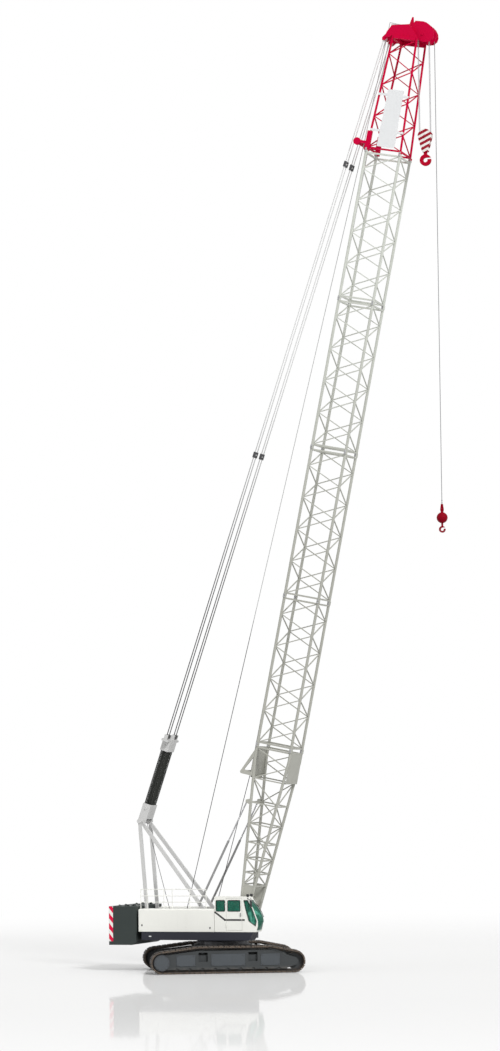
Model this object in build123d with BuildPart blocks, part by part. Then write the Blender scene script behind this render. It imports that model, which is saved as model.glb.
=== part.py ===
"""Lattice boom crawler crane, modelled at half of its real size.

Every value is the model's own, in millimetres. The frame is the upperworks':
+X forward, +Y to the machine's left, +Z up, with the origin where the slew
axis meets the ground. The undercarriage stands turned below it.
"""

import os
from math import acos, asin, atan2, cos, degrees, hypot, radians, sin, sqrt

from build123d import *

os.makedirs("parts", exist_ok=True)

# Clearances
SEAT = 0.3  # between pieces that rest on each other

# Undercarriage
UNDERCARRIAGE_TURN = 25.0  # degrees, as it stands below the upperworks
TRACK_LENGTH = 4100.0
TRACK_GAUGE = 2700.0
SHOE_WIDTH = 500.0
SHOE_COUNT = 62
SHOE_DEPTH = 24.0  # height of a shoe over the plate that joins them
SHOE_SPAN = 0.82  # share of the pitch that a shoe covers
PLATE_INSET = 46.0  # underside of the shoes
LINK_INSET = 92.0  # inner face of the links
LINK_WIDTH = 190.0
END_RADIUS = 295.0  # over the shoes at both ends
TRACK_TOP = 715.0
TOP_REAR_X = -780.0  # the top run lies flat from here
TOP_FRONT_X = 1150.0  # to here
FRAME_WIDTH = 330.0
FRAME_PLATE = 32.0
FRAME_TOP = 600.0
FRAME_LOW = 104.0
FRAME_REAR = 190.0  # radius of its plates round the drive wheel's axle
NOTCH = 48.0  # radius of the notches below the rollers' axles
BEAM_LOW = 300.0
BEAM_TOP = 490.0
RECESS_X = 660.0
RECESS_SIZE = 240.0
ROLLER_COUNT = 9
ROLLER_RADIUS = 92.0
ROLLER_SPAN = 2700.0  # first to last lower roller
CARRIER_RADIUS = 50.0
AXLE_RADIUS = 26.0
DRIVE_TEETH = 13
DRIVE_WIDTH = 80.0
TOOTH_HEIGHT = 34.0
DRIVE_COVER_RADIUS = 215.0
DRIVE_COVER_DEPTH = 75.0
CARBODY_RADIUS = 760.0
CARBODY_LOW = 260.0
CARBODY_TOP = 700.0
LEG_X = 620.0  # the two cross legs, ahead of and behind the slew axis
LEG_WIDTH = 330.0
LEG_TOP = 560.0
RING_RADIUS = 700.0
RING_BORE = 540.0
RING_TOP = 790.0

# Upperworks
UPPER_HALF_WIDTH = 1000.0
DECK_LOW = 840.0
DECK_TOP = 1062.0
DECK_REAR = -1945.0
DECK_FRONT_LOW = 1118.0
DECK_FRONT_TOP = 1215.0
CENTRE_REAR = -2045.0  # of the deck between the two houses
CENTRE_FRONT = 835.0
BAY_HALF_WIDTH = 540.0  # open bay between the two houses
HOUSE_REAR = -2025.0
HOUSE_FRONT = 122.0
LEFT_HOUSE_FRONT = 560.0
HOUSE_TOP = 1665.0
HOUSE_EDGE = 22.0
HOUSE_WALL = 18.0
ENGINE_LENGTH = 900.0
ENGINE_WIDTH = 340.0
ENGINE_HEIGHT = 420.0
ENGINE_X = -1350.0
WEIGHT_REAR = -2880.0
WEIGHT_FRONT = -2100.0
WEIGHT_LOW = 705.0
WEIGHT_TOP = 1735.0
WEIGHT_BASE = 330.0  # height of the tray below the slabs
WEIGHT_SLABS = 3
WEIGHT_CORNER = 50.0  # chamfer of the front corners

# Cab
CAB_INNER_Y = -560.0
CAB_REAR = 135.0
CAB_WALL = 26.0
CAB_ROOF = 1992.0
CAB_ROOF_FRONT = 1035.0
CAB_FRONT = (  # X and Z of the side walls' front, from the floor up
    (1300.0, DECK_TOP + SEAT),
    (1345.0, 1209.0),
    (1346.0, 1347.0),
    (1232.0, 1651.0),
    (1088.0, 1913.0),
    (1070.0, 1960.0),
)
SCREEN = (  # height of each section, X at its sides and depth of its bulge
    (1110.0, 1315.0, 10.0),
    (1210.0, 1342.0, 40.0),
    (1347.0, 1343.0, 92.0),
    (1460.0, 1301.0, 118.0),
    (1600.0, 1248.0, 105.0),
    (1730.0, 1186.0, 75.0),
    (1890.0, 1097.0, 10.0),
)
SCREEN_FACETS = 6  # across the windscreen
GLASS_X = 1035.0  # rear end of the windscreen's opening
GLASS = 8.0
DOOR_REAR = 470.0
DOOR_FRONT = 905.0
DOOR_LOW = 1110.0
DOOR_TOP = 1950.0
DOOR_GAP = 6.0
HINGE_HEIGHTS = (1230.0, 1830.0)
HINGE_HALF = 34.0
HINGE_KNUCKLE = 10.0
HINGE_PIN = 5.0
HINGE_LEAF = 30.0
WINDOW_LOW = 1600.0
WINDOW_TOP = 1905.0

# Gantry
APEX = (-2205.0, 4000.0)
REAR_FOOT = (-1985.0, 1260.0)
REAR_LEG_Y = 400.0
FRONT_FOOT = (-125.0, 1290.0)
FRONT_FOOT_Y = 415.0 # the front legs draw together towards the apex
FRONT_TOP_Y = 290.0
REAR_LEG = 84.0
FRONT_LEG = 90.0
LEG_DEPTH = 72.0
FOOT_BLOCK = 150.0
APEX_TUBE = 60.0
APEX_REACH = 190.0  # from the apex to the leg tops
SPREADER_SHEAVE = 80.0
SPREADER_SHEAVES = 10
SPREADER_HALF_WIDTH = 246.0
SPREADER_PLATE = 20.0
SPREADER_WALL = 10.0
BRIDLE_HALF_WIDTH = 420.0  # of the beam that carries the pendants
BRIDLE_DEPTH = 190.0
LOWER_SHAFT = 360.0  # all four along the line from the apex to the head
LOWER_TOP = 490.0
UPPER_LOW = 2000.0
UPPER_SHAFT = 2130.0
UPPER_TOP = 2330.0
REEVING_PITCH = 44.0
GROOVED_WIDTH = 36.0  # of each sheave in the two spreaders

# Boom, along its own +Z from the foot pins, leaning forward by LEAN
LEAN = 11.67
FOOT = (745.0, 1390.0)
BOOM_DEPTH = 960.0
BOOM_WIDTH = 935.0
FOOT_DEPTH = 170.0
BUTT_LENGTH = 4630.0
TAPER_END = BUTT_LENGTH - 300
BUTT_WEB_TOP = 900.0
BUTT_PANELS = 6
BUTT_GROWTH = 1.145  # of each panel over the one below it
BUTT_STRUT = 34.0
PLATE_LOW = BUTT_LENGTH - 890  # cross plates of the butt's top
PLATE_HIGH = BUTT_LENGTH - 80
INSERT_LENGTH = 4050.0
INSERT_COUNT = 4
INSERT_PANELS = 9
TIP_LENGTH = 3160.0
TIP_PANELS = 7
TIP_DEPTH = 670.0
TIP_WIDTH = 840.0
TIP_BEAM = 80.0
TIP_CHORD = 54.0
CHORD = 70.0
LACING = 26.0
STRUT = 44.0
END_MARGIN = 70.0
JOINT_BLOCK = 92.0
JOINT_HEIGHT = 110.0
FOOT_PIN = 45.0
BOSS_RADIUS = 92.0
BOSS_WIDTH = 70.0
LUG_PLATE = 22.0
LUG_GAP = 2.0
TIP_BASE = BUTT_LENGTH + INSERT_COUNT * INSERT_LENGTH
HEAD_BASE = TIP_BASE + TIP_LENGTH

# Backstops
BACKSTOP_Y = 467.5
BACKSTOP_FOOT_REACH = 600.0  # from the front leg's foot up the leg
BACKSTOP_Z = 3100.0  # along the boom
BACKSTOP_OFFSET = 110.0  # of the rod's eye from the chord's centre line
BACKSTOP_TUBE = 30.0
BACKSTOP_ROD = 20.0
BACKSTOP_PIN = 16.0
BACKSTOP_TUBE_LENGTH = 1900.0
BACKSTOP_ROD_START = 700.0  # from the tube's pin, as it stands

# Boom head and ropes, in the boom's own plane
MAIN_SHAFT = (418.0, HEAD_BASE + 160)
NOSE_SHAFT = (465.0, HEAD_BASE + 255)
SHEAVE_RADIUS = 160.0
SHEAVE_WIDTH = 46.0
SHAFT_RADIUS = 34.0
MAIN_SHEAVE_Y = (-190.0, -110.0)
SINGLE_SHEAVE_Y = 150.0
CHEEK_Y = (-245.0, 20.0, 205.0)  # of the plates beside the sheaves
CHEEK_PLATE = 24.0
HEAD_HALF_WIDTH = 420.0
HEAD_PLATE = 30.0
ROPE_END = (-610.0, HEAD_BASE + 400)
REAR_LUG = (-600.0, HEAD_BASE - 110)
LUG_PIN = 20.0
PENDANT_Y = 265.0
PENDANT_PITCH = 176.0
PENDANT_BAR = 24.0
SIDE_OUTLINE = (  # of the head's side plates, X and height over the tip
    (-563.0, -73.0),
    (-430.0, -50.0),
    (-385.0, 0.0),
    (373.0, 0.0),
    (55.0, 351.0),
    (-425.0, 273.0),
    (-540.0, 76.0),
)
BOX_OUTLINE = (
    (-400.0, 17.0),
    (185.0, 12.0),
    (185.0, 190.0),
    (55.0, 315.0),
    (-420.0, 240.0),
    (-480.0, 130.0),
)
CHEEK_OUTLINE = (
    (150.0, 30.0),
    (487.0, -52.0),
    (640.0, -20.0),
    (720.0, 70.0),
    (735.0, 170.0),
    (709.0, 270.0),
    (640.0, 370.0),
    (549.0, 440.0),
    (470.0, 480.0),
    (381.0, 500.0),
    (156.0, 495.0),
    (55.0, 300.0),
)
PEAK_OUTLINE = ((-110.0, 250.0), (90.0, 280.0), (0.0, 630.0), (-30.0, 630.0))
PEAK_HALF_WIDTH = 20.0
CONNECTORS = (0.47, 0.841)  # their places along the line, as shares of it
CONNECTOR_LENGTH = 170.0
ROPE = 15.0
ROPE_JOIN = 5.0  # between the runs on each side of a roller
ROPE_REACH = ROPE * 0.58  # half across the corners of its six-sided section
DEFLECTOR = (-785.0, TIP_BASE + 200)
DEFLECTOR_RADIUS = 57.0
GUIDE = (-770.0, BUTT_LENGTH - 790)
GUIDE_RADIUS = 40.0
DEFLECTOR_ARM = (5.0, 520.0)  # foot and top of its plate, from the tip's base
GUIDE_ARM = (BUTT_LENGTH - 850, BUTT_LENGTH - 140)  # its bracket, along the boom
ARM_WIDTH = 130.0
ARM_DEPTH = 74.0
ARM_THICKNESS = 80.0
ARM_RADIUS = 98.0
BRACKET_THICKNESS = 40.0
BRACKET_TIP = 50.0
ROLLER_SHAFT = 20.0
DEFLECTOR_Y = -60.0
GUIDE_Y = 115.0
SIGN_X = 50.0
SIGN_LOW = 130.0  # from the tip section's lower end
SIGN_HIGH = 1690.0
SIGN_RAIL = 60.0
SIGN_RAIL_DEPTH = 20.0
SIGN_RAILS = (560.0, 1540.0)  # heights of the two rails that carry it
SIGN_LOW_WIDTH = 500.0
SIGN_HIGH_WIDTH = 440.0
SIGN_THICKNESS = 12.0

# Hooks
BLOCK_DROP = 2571.0  # top of the block below the main sheaves' shaft
BLOCK_HEIGHT = 620.0
BLOCK_WIDTH = 384.0
BLOCK_FOOT = 150.0  # its width at the bottom
BLOCK_THICKNESS = 150.0
BLOCK_PLATE = 22.0
HOOK_DROP = 220.0  # centre of the bowl below the block
HOOK_OUTER = 155.0
HOOK_INNER = 62.0
HOOK_THICKNESS = 70.0
SOCKET_DROP = 12715.0  # top of the socket below the single line's shaft
BALL_DROP = 365.0  # centre of the ball below the socket's top
BALL_RADIUS = 148.0
BALL_RINGS = 8
SMALL_HOOK_DROP = 310.0  # centre of the bowl below the ball's
SMALL_HOOK_OUTER = 88.0
SMALL_HOOK_INNER = 44.0
SMALL_HOOK_THICKNESS = 44.0

# Winches in the bay
DRUM_RADIUS = 125.0
DRUM_FLANGE = 190.0
DRUM_HALF_WIDTH = 235.0
WINCH_PLATE = 24.0
RAIL = 18.0
RAIL_INSET = 60.0
RAIL_POSTS = (-1980.0, -1800.0, -1320.0, -1080.0, -580.0, -120.0)
RAIL_HEIGHTS = (180.0, 345.0, 520.0)
DRUM_SHAFT = 45.0
DRUM_RIM = 20.0
WINCHES = (  # X and Z of each drum's shaft: single line, main and boom hoist
    (-420.0, 1440.0),
    (-1170.0, 1440.0),
    (-1600.0, 1440.0),
)

WHEEL_X = TRACK_LENGTH / 2 - END_RADIUS
INNER_FACE_Y = TRACK_GAUGE / 2 - FRAME_WIDTH / 2 - SEAT
FOOT_PLACE = Location((FOOT[0], 0, FOOT[1]), (0, LEAN, 0))
TURN_PLACE = Location((0, 0, 0), (0, 0, UNDERCARRIAGE_TURN))
HERE = Location((0, 0, 0))


def turned(x, z, angle):
    """A point of the XZ plane, turned by an angle from +Z towards +X."""
    c, s = cos(radians(angle)), sin(radians(angle))
    return x * c + z * s, z * c - x * s


def on_boom(x, z):
    """Where a point of the boom's own plane stands in the world at rest."""
    dx, dz = turned(x, z, LEAN)
    return FOOT[0] + dx, FOOT[1] + dz


def towards(start, end, distance):
    """The point of the XZ plane at a distance from start on the way to end."""
    dx, dz = end[0] - start[0], end[1] - start[1]
    reach = hypot(dx, dz)
    return start[0] + dx / reach * distance, start[1] + dz / reach * distance


def evenly(low, high, count):
    """The ends and the steps between them, count + 1 values."""
    return [low + (high - low) * k / count for k in range(count + 1)]


BACKSTOP_FOOT = towards(FRONT_FOOT, APEX, BACKSTOP_FOOT_REACH)
LUG_WORLD = on_boom(*REAR_LUG)
LINE_LENGTH = hypot(LUG_WORLD[0] - APEX[0], LUG_WORLD[1] - APEX[1])
LINE_LEAN = degrees(atan2(LUG_WORLD[0] - APEX[0], LUG_WORLD[1] - APEX[1]))
LINE_PLACE = Location((APEX[0], 0, APEX[1]), (0, LINE_LEAN, 0))


def save(builder, name, place=HERE):
    """Place a finished piece, label it and write it to its own file."""
    part = builder.part.moved(place)
    part.label = name
    export_step(part, f"parts/{name}.step")


def bar(start, end, width, depth, facing=(0, 1, 0), trim=0.0):
    """A rectangular bar between two points, its width along facing."""
    start, end = Vector(*start), Vector(*end)
    along = (end - start).normalized()
    plane = Plane(origin=start + along * trim, x_dir=facing, z_dir=along)
    with BuildSketch(plane) as section:
        Rectangle(width, depth)
    extrude(section.sketch, amount=(end - start).length - 2 * trim)


def rod(start, end, diameter, sides=8, facing=(0, 1, 0), trim=0.0):
    """A bar with a regular section, measured over its flats."""
    start, end = Vector(*start), Vector(*end)
    along = (end - start).normalized()
    plane = Plane(origin=start + along * trim, x_dir=facing, z_dir=along)
    with BuildSketch(plane) as section:
        RegularPolygon(diameter / 2, sides, major_radius=False, rotation=180 / sides)
    extrude(section.sketch, amount=(end - start).length - 2 * trim)


def pin(x, z, radius, y_low, y_high, mode=Mode.ADD):
    """A round pin, or a bore for one, along Y."""
    with BuildSketch(Plane.XZ.offset(-y_low)) as section:
        with Locations((x, z)):
            Circle(radius)
    extrude(section.sketch, amount=-(y_high - y_low), mode=mode)


def plate(points, y_low, y_high, mode=Mode.ADD):
    """A flat plate drawn in the XZ plane."""
    with BuildSketch(Plane.XZ.offset(-y_low)) as section:
        with BuildLine():
            Polyline(*points, close=True)
        make_face()
    extrude(section.sketch, amount=-(y_high - y_low), mode=mode)


def rectangle(x_low, x_high, z_low, z_high):
    """The four corners of an upright rectangle."""
    return (x_low, z_low), (x_high, z_low), (x_high, z_high), (x_low, z_high)


def spool(x, z, steps, y_start):
    """Round steps side by side along Y: (radius, width) one after another."""
    points = [(0, y_start)]
    y = y_start
    for radius, width in steps:
        points += [(radius, y), (radius, y + width)]
        y += width
    points.append((0, y))
    with BuildSketch(Plane(origin=(x, 0, z), x_dir=(1, 0, 0), z_dir=(0, 0, 1))) as section:
        with BuildLine():
            Polyline(*points, close=True)
        make_face()
    revolve(section.sketch, axis=Axis((x, 0, z), (0, 1, 0)))


# Tracks: one closed loop a side, its shoes in its outline
def top_angle(inset, rise_x):
    """Where the sloped top run leaves the end circle, as an angle there."""
    dx, dz = rise_x - WHEEL_X, TRACK_TOP - inset - END_RADIUS
    return degrees(atan2(dz, dx) - acos((END_RADIUS - inset) / hypot(dx, dz)))


def draw_loop(inset):
    """The closed loop at a depth below the shoes' crowns."""
    radius = END_RADIUS - inset
    front = top_angle(inset, TOP_FRONT_X)
    rear = 180 - top_angle(inset, -TOP_REAR_X)
    top = TRACK_TOP - inset
    Line((-WHEEL_X, inset), (WHEEL_X, inset))
    nose = CenterArc((WHEEL_X, END_RADIUS), radius, -90, front + 90)
    Line(nose @ 1, (TOP_FRONT_X, top))
    Line((TOP_FRONT_X, top), (TOP_REAR_X, top))
    tail = CenterArc((-WHEEL_X, END_RADIUS), radius, rear, 270 - rear)
    Line((TOP_REAR_X, top), tail @ 0)


def shoe_corners():
    """Root, crown, crown and root of each shoe, in order round the loop."""
    with BuildLine() as crown:
        draw_loop(0)
    loop = crown.wire()
    corners = []
    for shoe in range(SHOE_COUNT):
        first = (shoe + (1 - SHOE_SPAN) / 2) / SHOE_COUNT
        last = (shoe + (1 + SHOE_SPAN) / 2) / SHOE_COUNT
        for share, depth in ((first, SHOE_DEPTH), (first, 0), (last, 0), (last, SHOE_DEPTH)):
            place, along = loop @ share, loop % share
            corners.append((place.X - along.Y * depth, place.Y + along.X * depth))
    return corners


def make_track(side, name):
    with BuildPart() as track:
        with BuildSketch(Plane.XZ):
            with BuildLine():
                Polyline(*shoe_corners(), close=True)
            make_face()
            with BuildLine():
                draw_loop(PLATE_INSET)
            make_face(mode=Mode.SUBTRACT)
        extrude(amount=SHOE_WIDTH / 2, both=True)
        with BuildSketch(Plane.XZ):
            with BuildLine():
                draw_loop((SHOE_DEPTH + PLATE_INSET) / 2)
            make_face()
            with BuildLine():
                draw_loop(LINK_INSET)
            make_face(mode=Mode.SUBTRACT)
        extrude(amount=LINK_WIDTH / 2, both=True)
    save(track, name, TURN_PLACE * Location((0, side * TRACK_GAUGE / 2, 0)))


def make_track_frame(side, name):
    """Two side plates round a closed beam, with recesses in the outer plate."""
    outer, inner = side * FRAME_WIDTH / 2, side * (FRAME_WIDTH / 2 - FRAME_PLATE)
    nose = WHEEL_X - END_RADIUS + LINK_INSET - 20
    roller_z = LINK_INSET + SEAT + ROLLER_RADIUS
    with BuildPart() as frame:
        for face in (outer, -outer):
            low, high = sorted((face, face - FRAME_PLATE * (1 if face > 0 else -1)))
            with BuildSketch(Plane.XZ.offset(-low)):
                with BuildLine():
                    Polyline(
                        (-WHEEL_X, FRAME_LOW),
                        (nose, FRAME_LOW),
                        (WHEEL_X, END_RADIUS - 110),
                        (WHEEL_X, END_RADIUS + 110),
                        (TOP_FRONT_X, FRAME_TOP),
                        (TOP_REAR_X, FRAME_TOP),
                        (-WHEEL_X, END_RADIUS + FRAME_REAR),
                        close=True,
                    )
                make_face()
                with Locations((-WHEEL_X, END_RADIUS)):
                    Circle(FRAME_REAR)
                with Locations((WHEEL_X, END_RADIUS)):
                    Circle(110)
                with Locations((-WHEEL_X, END_RADIUS), (WHEEL_X, END_RADIUS)):
                    Circle(AXLE_RADIUS, mode=Mode.SUBTRACT)
                with GridLocations(ROLLER_SPAN / (ROLLER_COUNT - 1), 1, ROLLER_COUNT, 1):
                    with Locations((0, FRAME_LOW)):
                        RegularPolygon(NOTCH, 8, rotation=22.5, mode=Mode.SUBTRACT)
            extrude(amount=-(high - low))
        with BuildSketch(Plane.XZ):
            with Locations((0, (BEAM_LOW + BEAM_TOP) / 2)):
                Rectangle(2 * nose, BEAM_TOP - BEAM_LOW)
        extrude(amount=FRAME_WIDTH / 2, both=True)
        with BuildSketch(Plane.XZ.offset(-outer)):
            with Locations((-RECESS_X, BEAM_TOP - 60), (RECESS_X, BEAM_TOP - 60)):
                Rectangle(RECESS_SIZE, RECESS_SIZE)
        extrude(amount=side * (FRAME_PLATE + 60), mode=Mode.SUBTRACT)
        with BuildSketch(Plane.XZ):
            with GridLocations(ROLLER_SPAN / (ROLLER_COUNT - 1), 1, ROLLER_COUNT, 1):
                with Locations((0, roller_z)):
                    Circle(AXLE_RADIUS)
        extrude(amount=FRAME_WIDTH / 2, both=True, mode=Mode.SUBTRACT)
    save(frame, name, TURN_PLACE * Location((0, side * TRACK_GAUGE / 2, 0)))


def make_rollers(side, name):
    """Lower rollers that stand on the links, and two carriers below the top run."""
    half = FRAME_WIDTH / 2 - FRAME_PLATE - SEAT
    low_z = LINK_INSET + SEAT + ROLLER_RADIUS
    high_z = TRACK_TOP - LINK_INSET - SEAT - CARRIER_RADIUS
    step = ROLLER_SPAN / (ROLLER_COUNT - 1)
    with BuildPart() as rollers:
        for k in range(ROLLER_COUNT):
            x = k * step - ROLLER_SPAN / 2
            rod((x, -half, low_z), (x, half, low_z), 2 * ROLLER_RADIUS, 12, (1, 0, 0))
            pin(x, low_z, AXLE_RADIUS - SEAT, -FRAME_WIDTH / 2, FRAME_WIDTH / 2)
        for x in (TOP_REAR_X + 2 * CARRIER_RADIUS, TOP_FRONT_X - 2 * CARRIER_RADIUS):
            rod((x, -half, high_z), (x, half, high_z), 2 * CARRIER_RADIUS, 12, (1, 0, 0))
    save(rollers, name, TURN_PLACE * Location((0, side * TRACK_GAUGE / 2, 0)))


def make_drive(side, name):
    """Toothed drive wheel with its hub cover on the outer side."""
    tip = END_RADIUS - LINK_INSET - SEAT
    inner = FRAME_WIDTH / 2 - FRAME_PLATE - SEAT
    with BuildPart() as drive:
        with BuildSketch(Plane.XZ):
            Circle(tip - TOOTH_HEIGHT)
            with PolarLocations(tip - TOOTH_HEIGHT / 2, DRIVE_TEETH):
                Rectangle(TOOTH_HEIGHT * 1.2, TOOTH_HEIGHT * 1.1)
            Circle(tip, mode=Mode.INTERSECT)
        extrude(amount=DRIVE_WIDTH / 2, both=True)
        pin(0, 0, DRIVE_COVER_RADIUS * 0.6, -inner, inner)
        pin(0, 0, AXLE_RADIUS - SEAT, -FRAME_WIDTH / 2, FRAME_WIDTH / 2)
        low, high = sorted((side * (FRAME_WIDTH / 2 + SEAT), side * (FRAME_WIDTH / 2 + DRIVE_COVER_DEPTH)))
        pin(0, 0, DRIVE_COVER_RADIUS, low, high)
        low, high = sorted((0, side * (FRAME_WIDTH / 2 + 1)))
        pin(0, 0, AXLE_RADIUS - SEAT, low, high)
    place = Location((-WHEEL_X, side * TRACK_GAUGE / 2, END_RADIUS))
    save(drive, name, TURN_PLACE * place)


def make_idler(side, name):
    tip = END_RADIUS - LINK_INSET - SEAT
    inner = FRAME_WIDTH / 2 - FRAME_PLATE - SEAT
    rim, web = 34.0, 40.0
    steps = (
        (AXLE_RADIUS - SEAT, FRAME_PLATE + SEAT),
        (70, inner - rim - web),
        (tip, rim),
        (tip - 30, 2 * web),
        (tip, rim),
        (70, inner - rim - web),
        (AXLE_RADIUS - SEAT, FRAME_PLATE + SEAT),
    )
    with BuildPart() as idler:
        spool(0, 0, steps, -FRAME_WIDTH / 2)
    save(idler, name, TURN_PLACE * Location((WHEEL_X, side * TRACK_GAUGE / 2, END_RADIUS)))


for side, word in ((-1, "right"), (1, "left")):
    make_track(side, f"track_{word}")
    make_track_frame(side, f"track_frame_{word}")
    make_rollers(side, f"track_rollers_{word}")
    make_drive(side, f"drive_wheel_{word}")
    make_idler(side, f"idler_{word}")

with BuildPart() as carbody:
    with BuildSketch(Plane.XY.offset(CARBODY_LOW)):
        RegularPolygon(CARBODY_RADIUS, 8, major_radius=False, rotation=22.5)
    extrude(amount=CARBODY_TOP - CARBODY_LOW)
    with BuildSketch(Plane.XY.offset(CARBODY_LOW)):
        with Locations((-LEG_X, 0), (LEG_X, 0)):
            Rectangle(LEG_WIDTH, 2 * INNER_FACE_Y)
    extrude(amount=LEG_TOP - CARBODY_LOW)
save(carbody, "carbody", TURN_PLACE)

with BuildPart() as slew_ring:
    with BuildSketch(Plane.XY.offset(CARBODY_TOP + SEAT)):
        Circle(RING_RADIUS)
        Circle(RING_BORE, mode=Mode.SUBTRACT)
    extrude(amount=RING_TOP - CARBODY_TOP - SEAT)
save(slew_ring, "slew_ring", TURN_PLACE)

# Deck, with the lugs that carry the boom's feet
BOSS_Y = BOOM_WIDTH / 2
LUGS = (  # inner and outer faces of the lug plates on one side
    (BOSS_Y - BOSS_WIDTH / 2 - LUG_GAP - LUG_PLATE, BOSS_Y - BOSS_WIDTH / 2 - LUG_GAP),
    (BOSS_Y + BOSS_WIDTH / 2 + LUG_GAP, BOSS_Y + BOSS_WIDTH / 2 + LUG_GAP + LUG_PLATE),
)
with BuildPart() as deck:
    with BuildSketch(Plane.XY.offset(DECK_LOW)):
        with BuildLine():
            Polyline(
                (DECK_REAR, -UPPER_HALF_WIDTH),
                (0, -UPPER_HALF_WIDTH),
                (0, -BAY_HALF_WIDTH),
                (CENTRE_FRONT, -BAY_HALF_WIDTH),
                (CENTRE_FRONT, BAY_HALF_WIDTH),
                (LEFT_HOUSE_FRONT + 60, BAY_HALF_WIDTH),
                (LEFT_HOUSE_FRONT + 60, UPPER_HALF_WIDTH),
                (DECK_REAR, UPPER_HALF_WIDTH),
                (DECK_REAR, BAY_HALF_WIDTH),
                (CENTRE_REAR, BAY_HALF_WIDTH),
                (CENTRE_REAR, -BAY_HALF_WIDTH),
                (DECK_REAR, -BAY_HALF_WIDTH),
                close=True,
            )
        make_face()
    extrude(amount=DECK_TOP - DECK_LOW)
    plate(
        (
            (0, DECK_LOW),
            (DECK_FRONT_LOW, DECK_LOW),
            (DECK_FRONT_TOP, DECK_TOP),
            (0, DECK_TOP),
        ),
        -UPPER_HALF_WIDTH,
        -BAY_HALF_WIDTH,
    )
    with BuildSketch(Plane.XY.offset(DECK_LOW)):
        Circle(RING_RADIUS - 60)
        Circle(RING_BORE, mode=Mode.SUBTRACT)
    extrude(amount=-(DECK_LOW - RING_TOP - SEAT))
    for side in (-1, 1):
        for low, high in LUGS:
            y_low, y_high = sorted((side * low, side * high))
            with BuildSketch(Plane.XZ.offset(-y_low)):
                with BuildLine():
                    Polyline(
                        (FOOT[0] - 230, DECK_TOP - 20),
                        (CENTRE_FRONT, DECK_TOP - 20),
                        (FOOT[0] + BOSS_RADIUS, FOOT[1]),
                        (FOOT[0] - BOSS_RADIUS, FOOT[1]),
                        close=True,
                    )
                make_face()
                with Locations(FOOT):
                    Circle(BOSS_RADIUS)
                    Circle(FOOT_PIN, mode=Mode.SUBTRACT)
            extrude(amount=-(y_high - y_low))
        for (foot_x, foot_z), foot_y in ((REAR_FOOT, REAR_LEG_Y), (FRONT_FOOT, FRONT_FOOT_Y)):
            with BuildSketch(Plane.XY.offset(DECK_TOP - 20)):
                with Locations((max(foot_x, CENTRE_REAR + FOOT_BLOCK / 2), side * foot_y)):
                    Rectangle(FOOT_BLOCK, LEG_DEPTH)
            extrude(amount=foot_z - DECK_TOP + 20 - SEAT)
save(deck, "deck")

with BuildPart() as foot_pins:
    for side in (-1, 1):
        low, high = sorted((side * (LUGS[0][0] - 6), side * (LUGS[1][1] + 3)))
        pin(*FOOT, FOOT_PIN - SEAT, low, high)
save(foot_pins, "boom_foot_pins")


def make_house(y_inner, y_outer, front, name):
    low, high = sorted((y_inner, y_outer))
    with BuildPart() as house:
        with BuildSketch(Plane.XY.offset(DECK_TOP + SEAT)):
            with Locations(((HOUSE_REAR + front) / 2, (low + high) / 2)):
                Rectangle(front - HOUSE_REAR, high - low)
        extrude(amount=HOUSE_TOP - DECK_TOP - SEAT)
        top = house.faces().sort_by(Axis.Z)[-1]
        chamfer(top.edges(), HOUSE_EDGE)
        bottom = house.faces().sort_by(Axis.Z)[0]
        offset(amount=-HOUSE_WALL, openings=bottom)
    save(house, name)


make_house(-BAY_HALF_WIDTH - 6, -UPPER_HALF_WIDTH, HOUSE_FRONT, "house_right")
make_house(BAY_HALF_WIDTH + 6, UPPER_HALF_WIDTH, LEFT_HOUSE_FRONT, "house_left")

# Counterweight: a tray, and slabs on each side of the centre
slab_height = (WEIGHT_TOP - WEIGHT_LOW - WEIGHT_BASE) / WEIGHT_SLABS
with BuildPart() as weight_tray:
    plate(
        (
            (WEIGHT_REAR, WEIGHT_LOW),
            (WEIGHT_FRONT - 130, WEIGHT_LOW),
            (WEIGHT_FRONT, WEIGHT_LOW + 70),
            (WEIGHT_FRONT, WEIGHT_LOW + WEIGHT_BASE),
            (WEIGHT_REAR, WEIGHT_LOW + WEIGHT_BASE),
        ),
        -UPPER_HALF_WIDTH,
        UPPER_HALF_WIDTH,
    )
    with BuildSketch(Plane.XY.offset(WEIGHT_LOW + 150)):
        with Locations(((WEIGHT_FRONT + CENTRE_REAR - SEAT) / 2, 0)):
            Rectangle(CENTRE_REAR - SEAT - WEIGHT_FRONT, 2 * BAY_HALF_WIDTH)
    extrude(amount=WEIGHT_BASE - 170)
save(weight_tray, "counterweight_tray")

with BuildPart() as weights:
    for k in range(WEIGHT_SLABS):
        base = WEIGHT_LOW + WEIGHT_BASE + k * slab_height + SEAT
        with BuildSketch(Plane.XY.offset(base)):
            with BuildLine():
                Polyline(
                    (WEIGHT_REAR, -UPPER_HALF_WIDTH),
                    (WEIGHT_FRONT - WEIGHT_CORNER, -UPPER_HALF_WIDTH),
                    (WEIGHT_FRONT, WEIGHT_CORNER - UPPER_HALF_WIDTH),
                    (WEIGHT_FRONT, UPPER_HALF_WIDTH - WEIGHT_CORNER),
                    (WEIGHT_FRONT - WEIGHT_CORNER, UPPER_HALF_WIDTH),
                    (WEIGHT_REAR, UPPER_HALF_WIDTH),
                    close=True,
                )
            make_face()
        extrude(amount=slab_height - SEAT)
save(weights, "counterweight_slabs")

with BuildPart() as engine:
    with BuildSketch(Plane.XY.offset(DECK_TOP + SEAT)):
        with Locations((ENGINE_X, (BAY_HALF_WIDTH + UPPER_HALF_WIDTH) / 2)):
            Rectangle(ENGINE_LENGTH, ENGINE_WIDTH)
    extrude(amount=ENGINE_HEIGHT)
save(engine, "engine_block")


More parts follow.
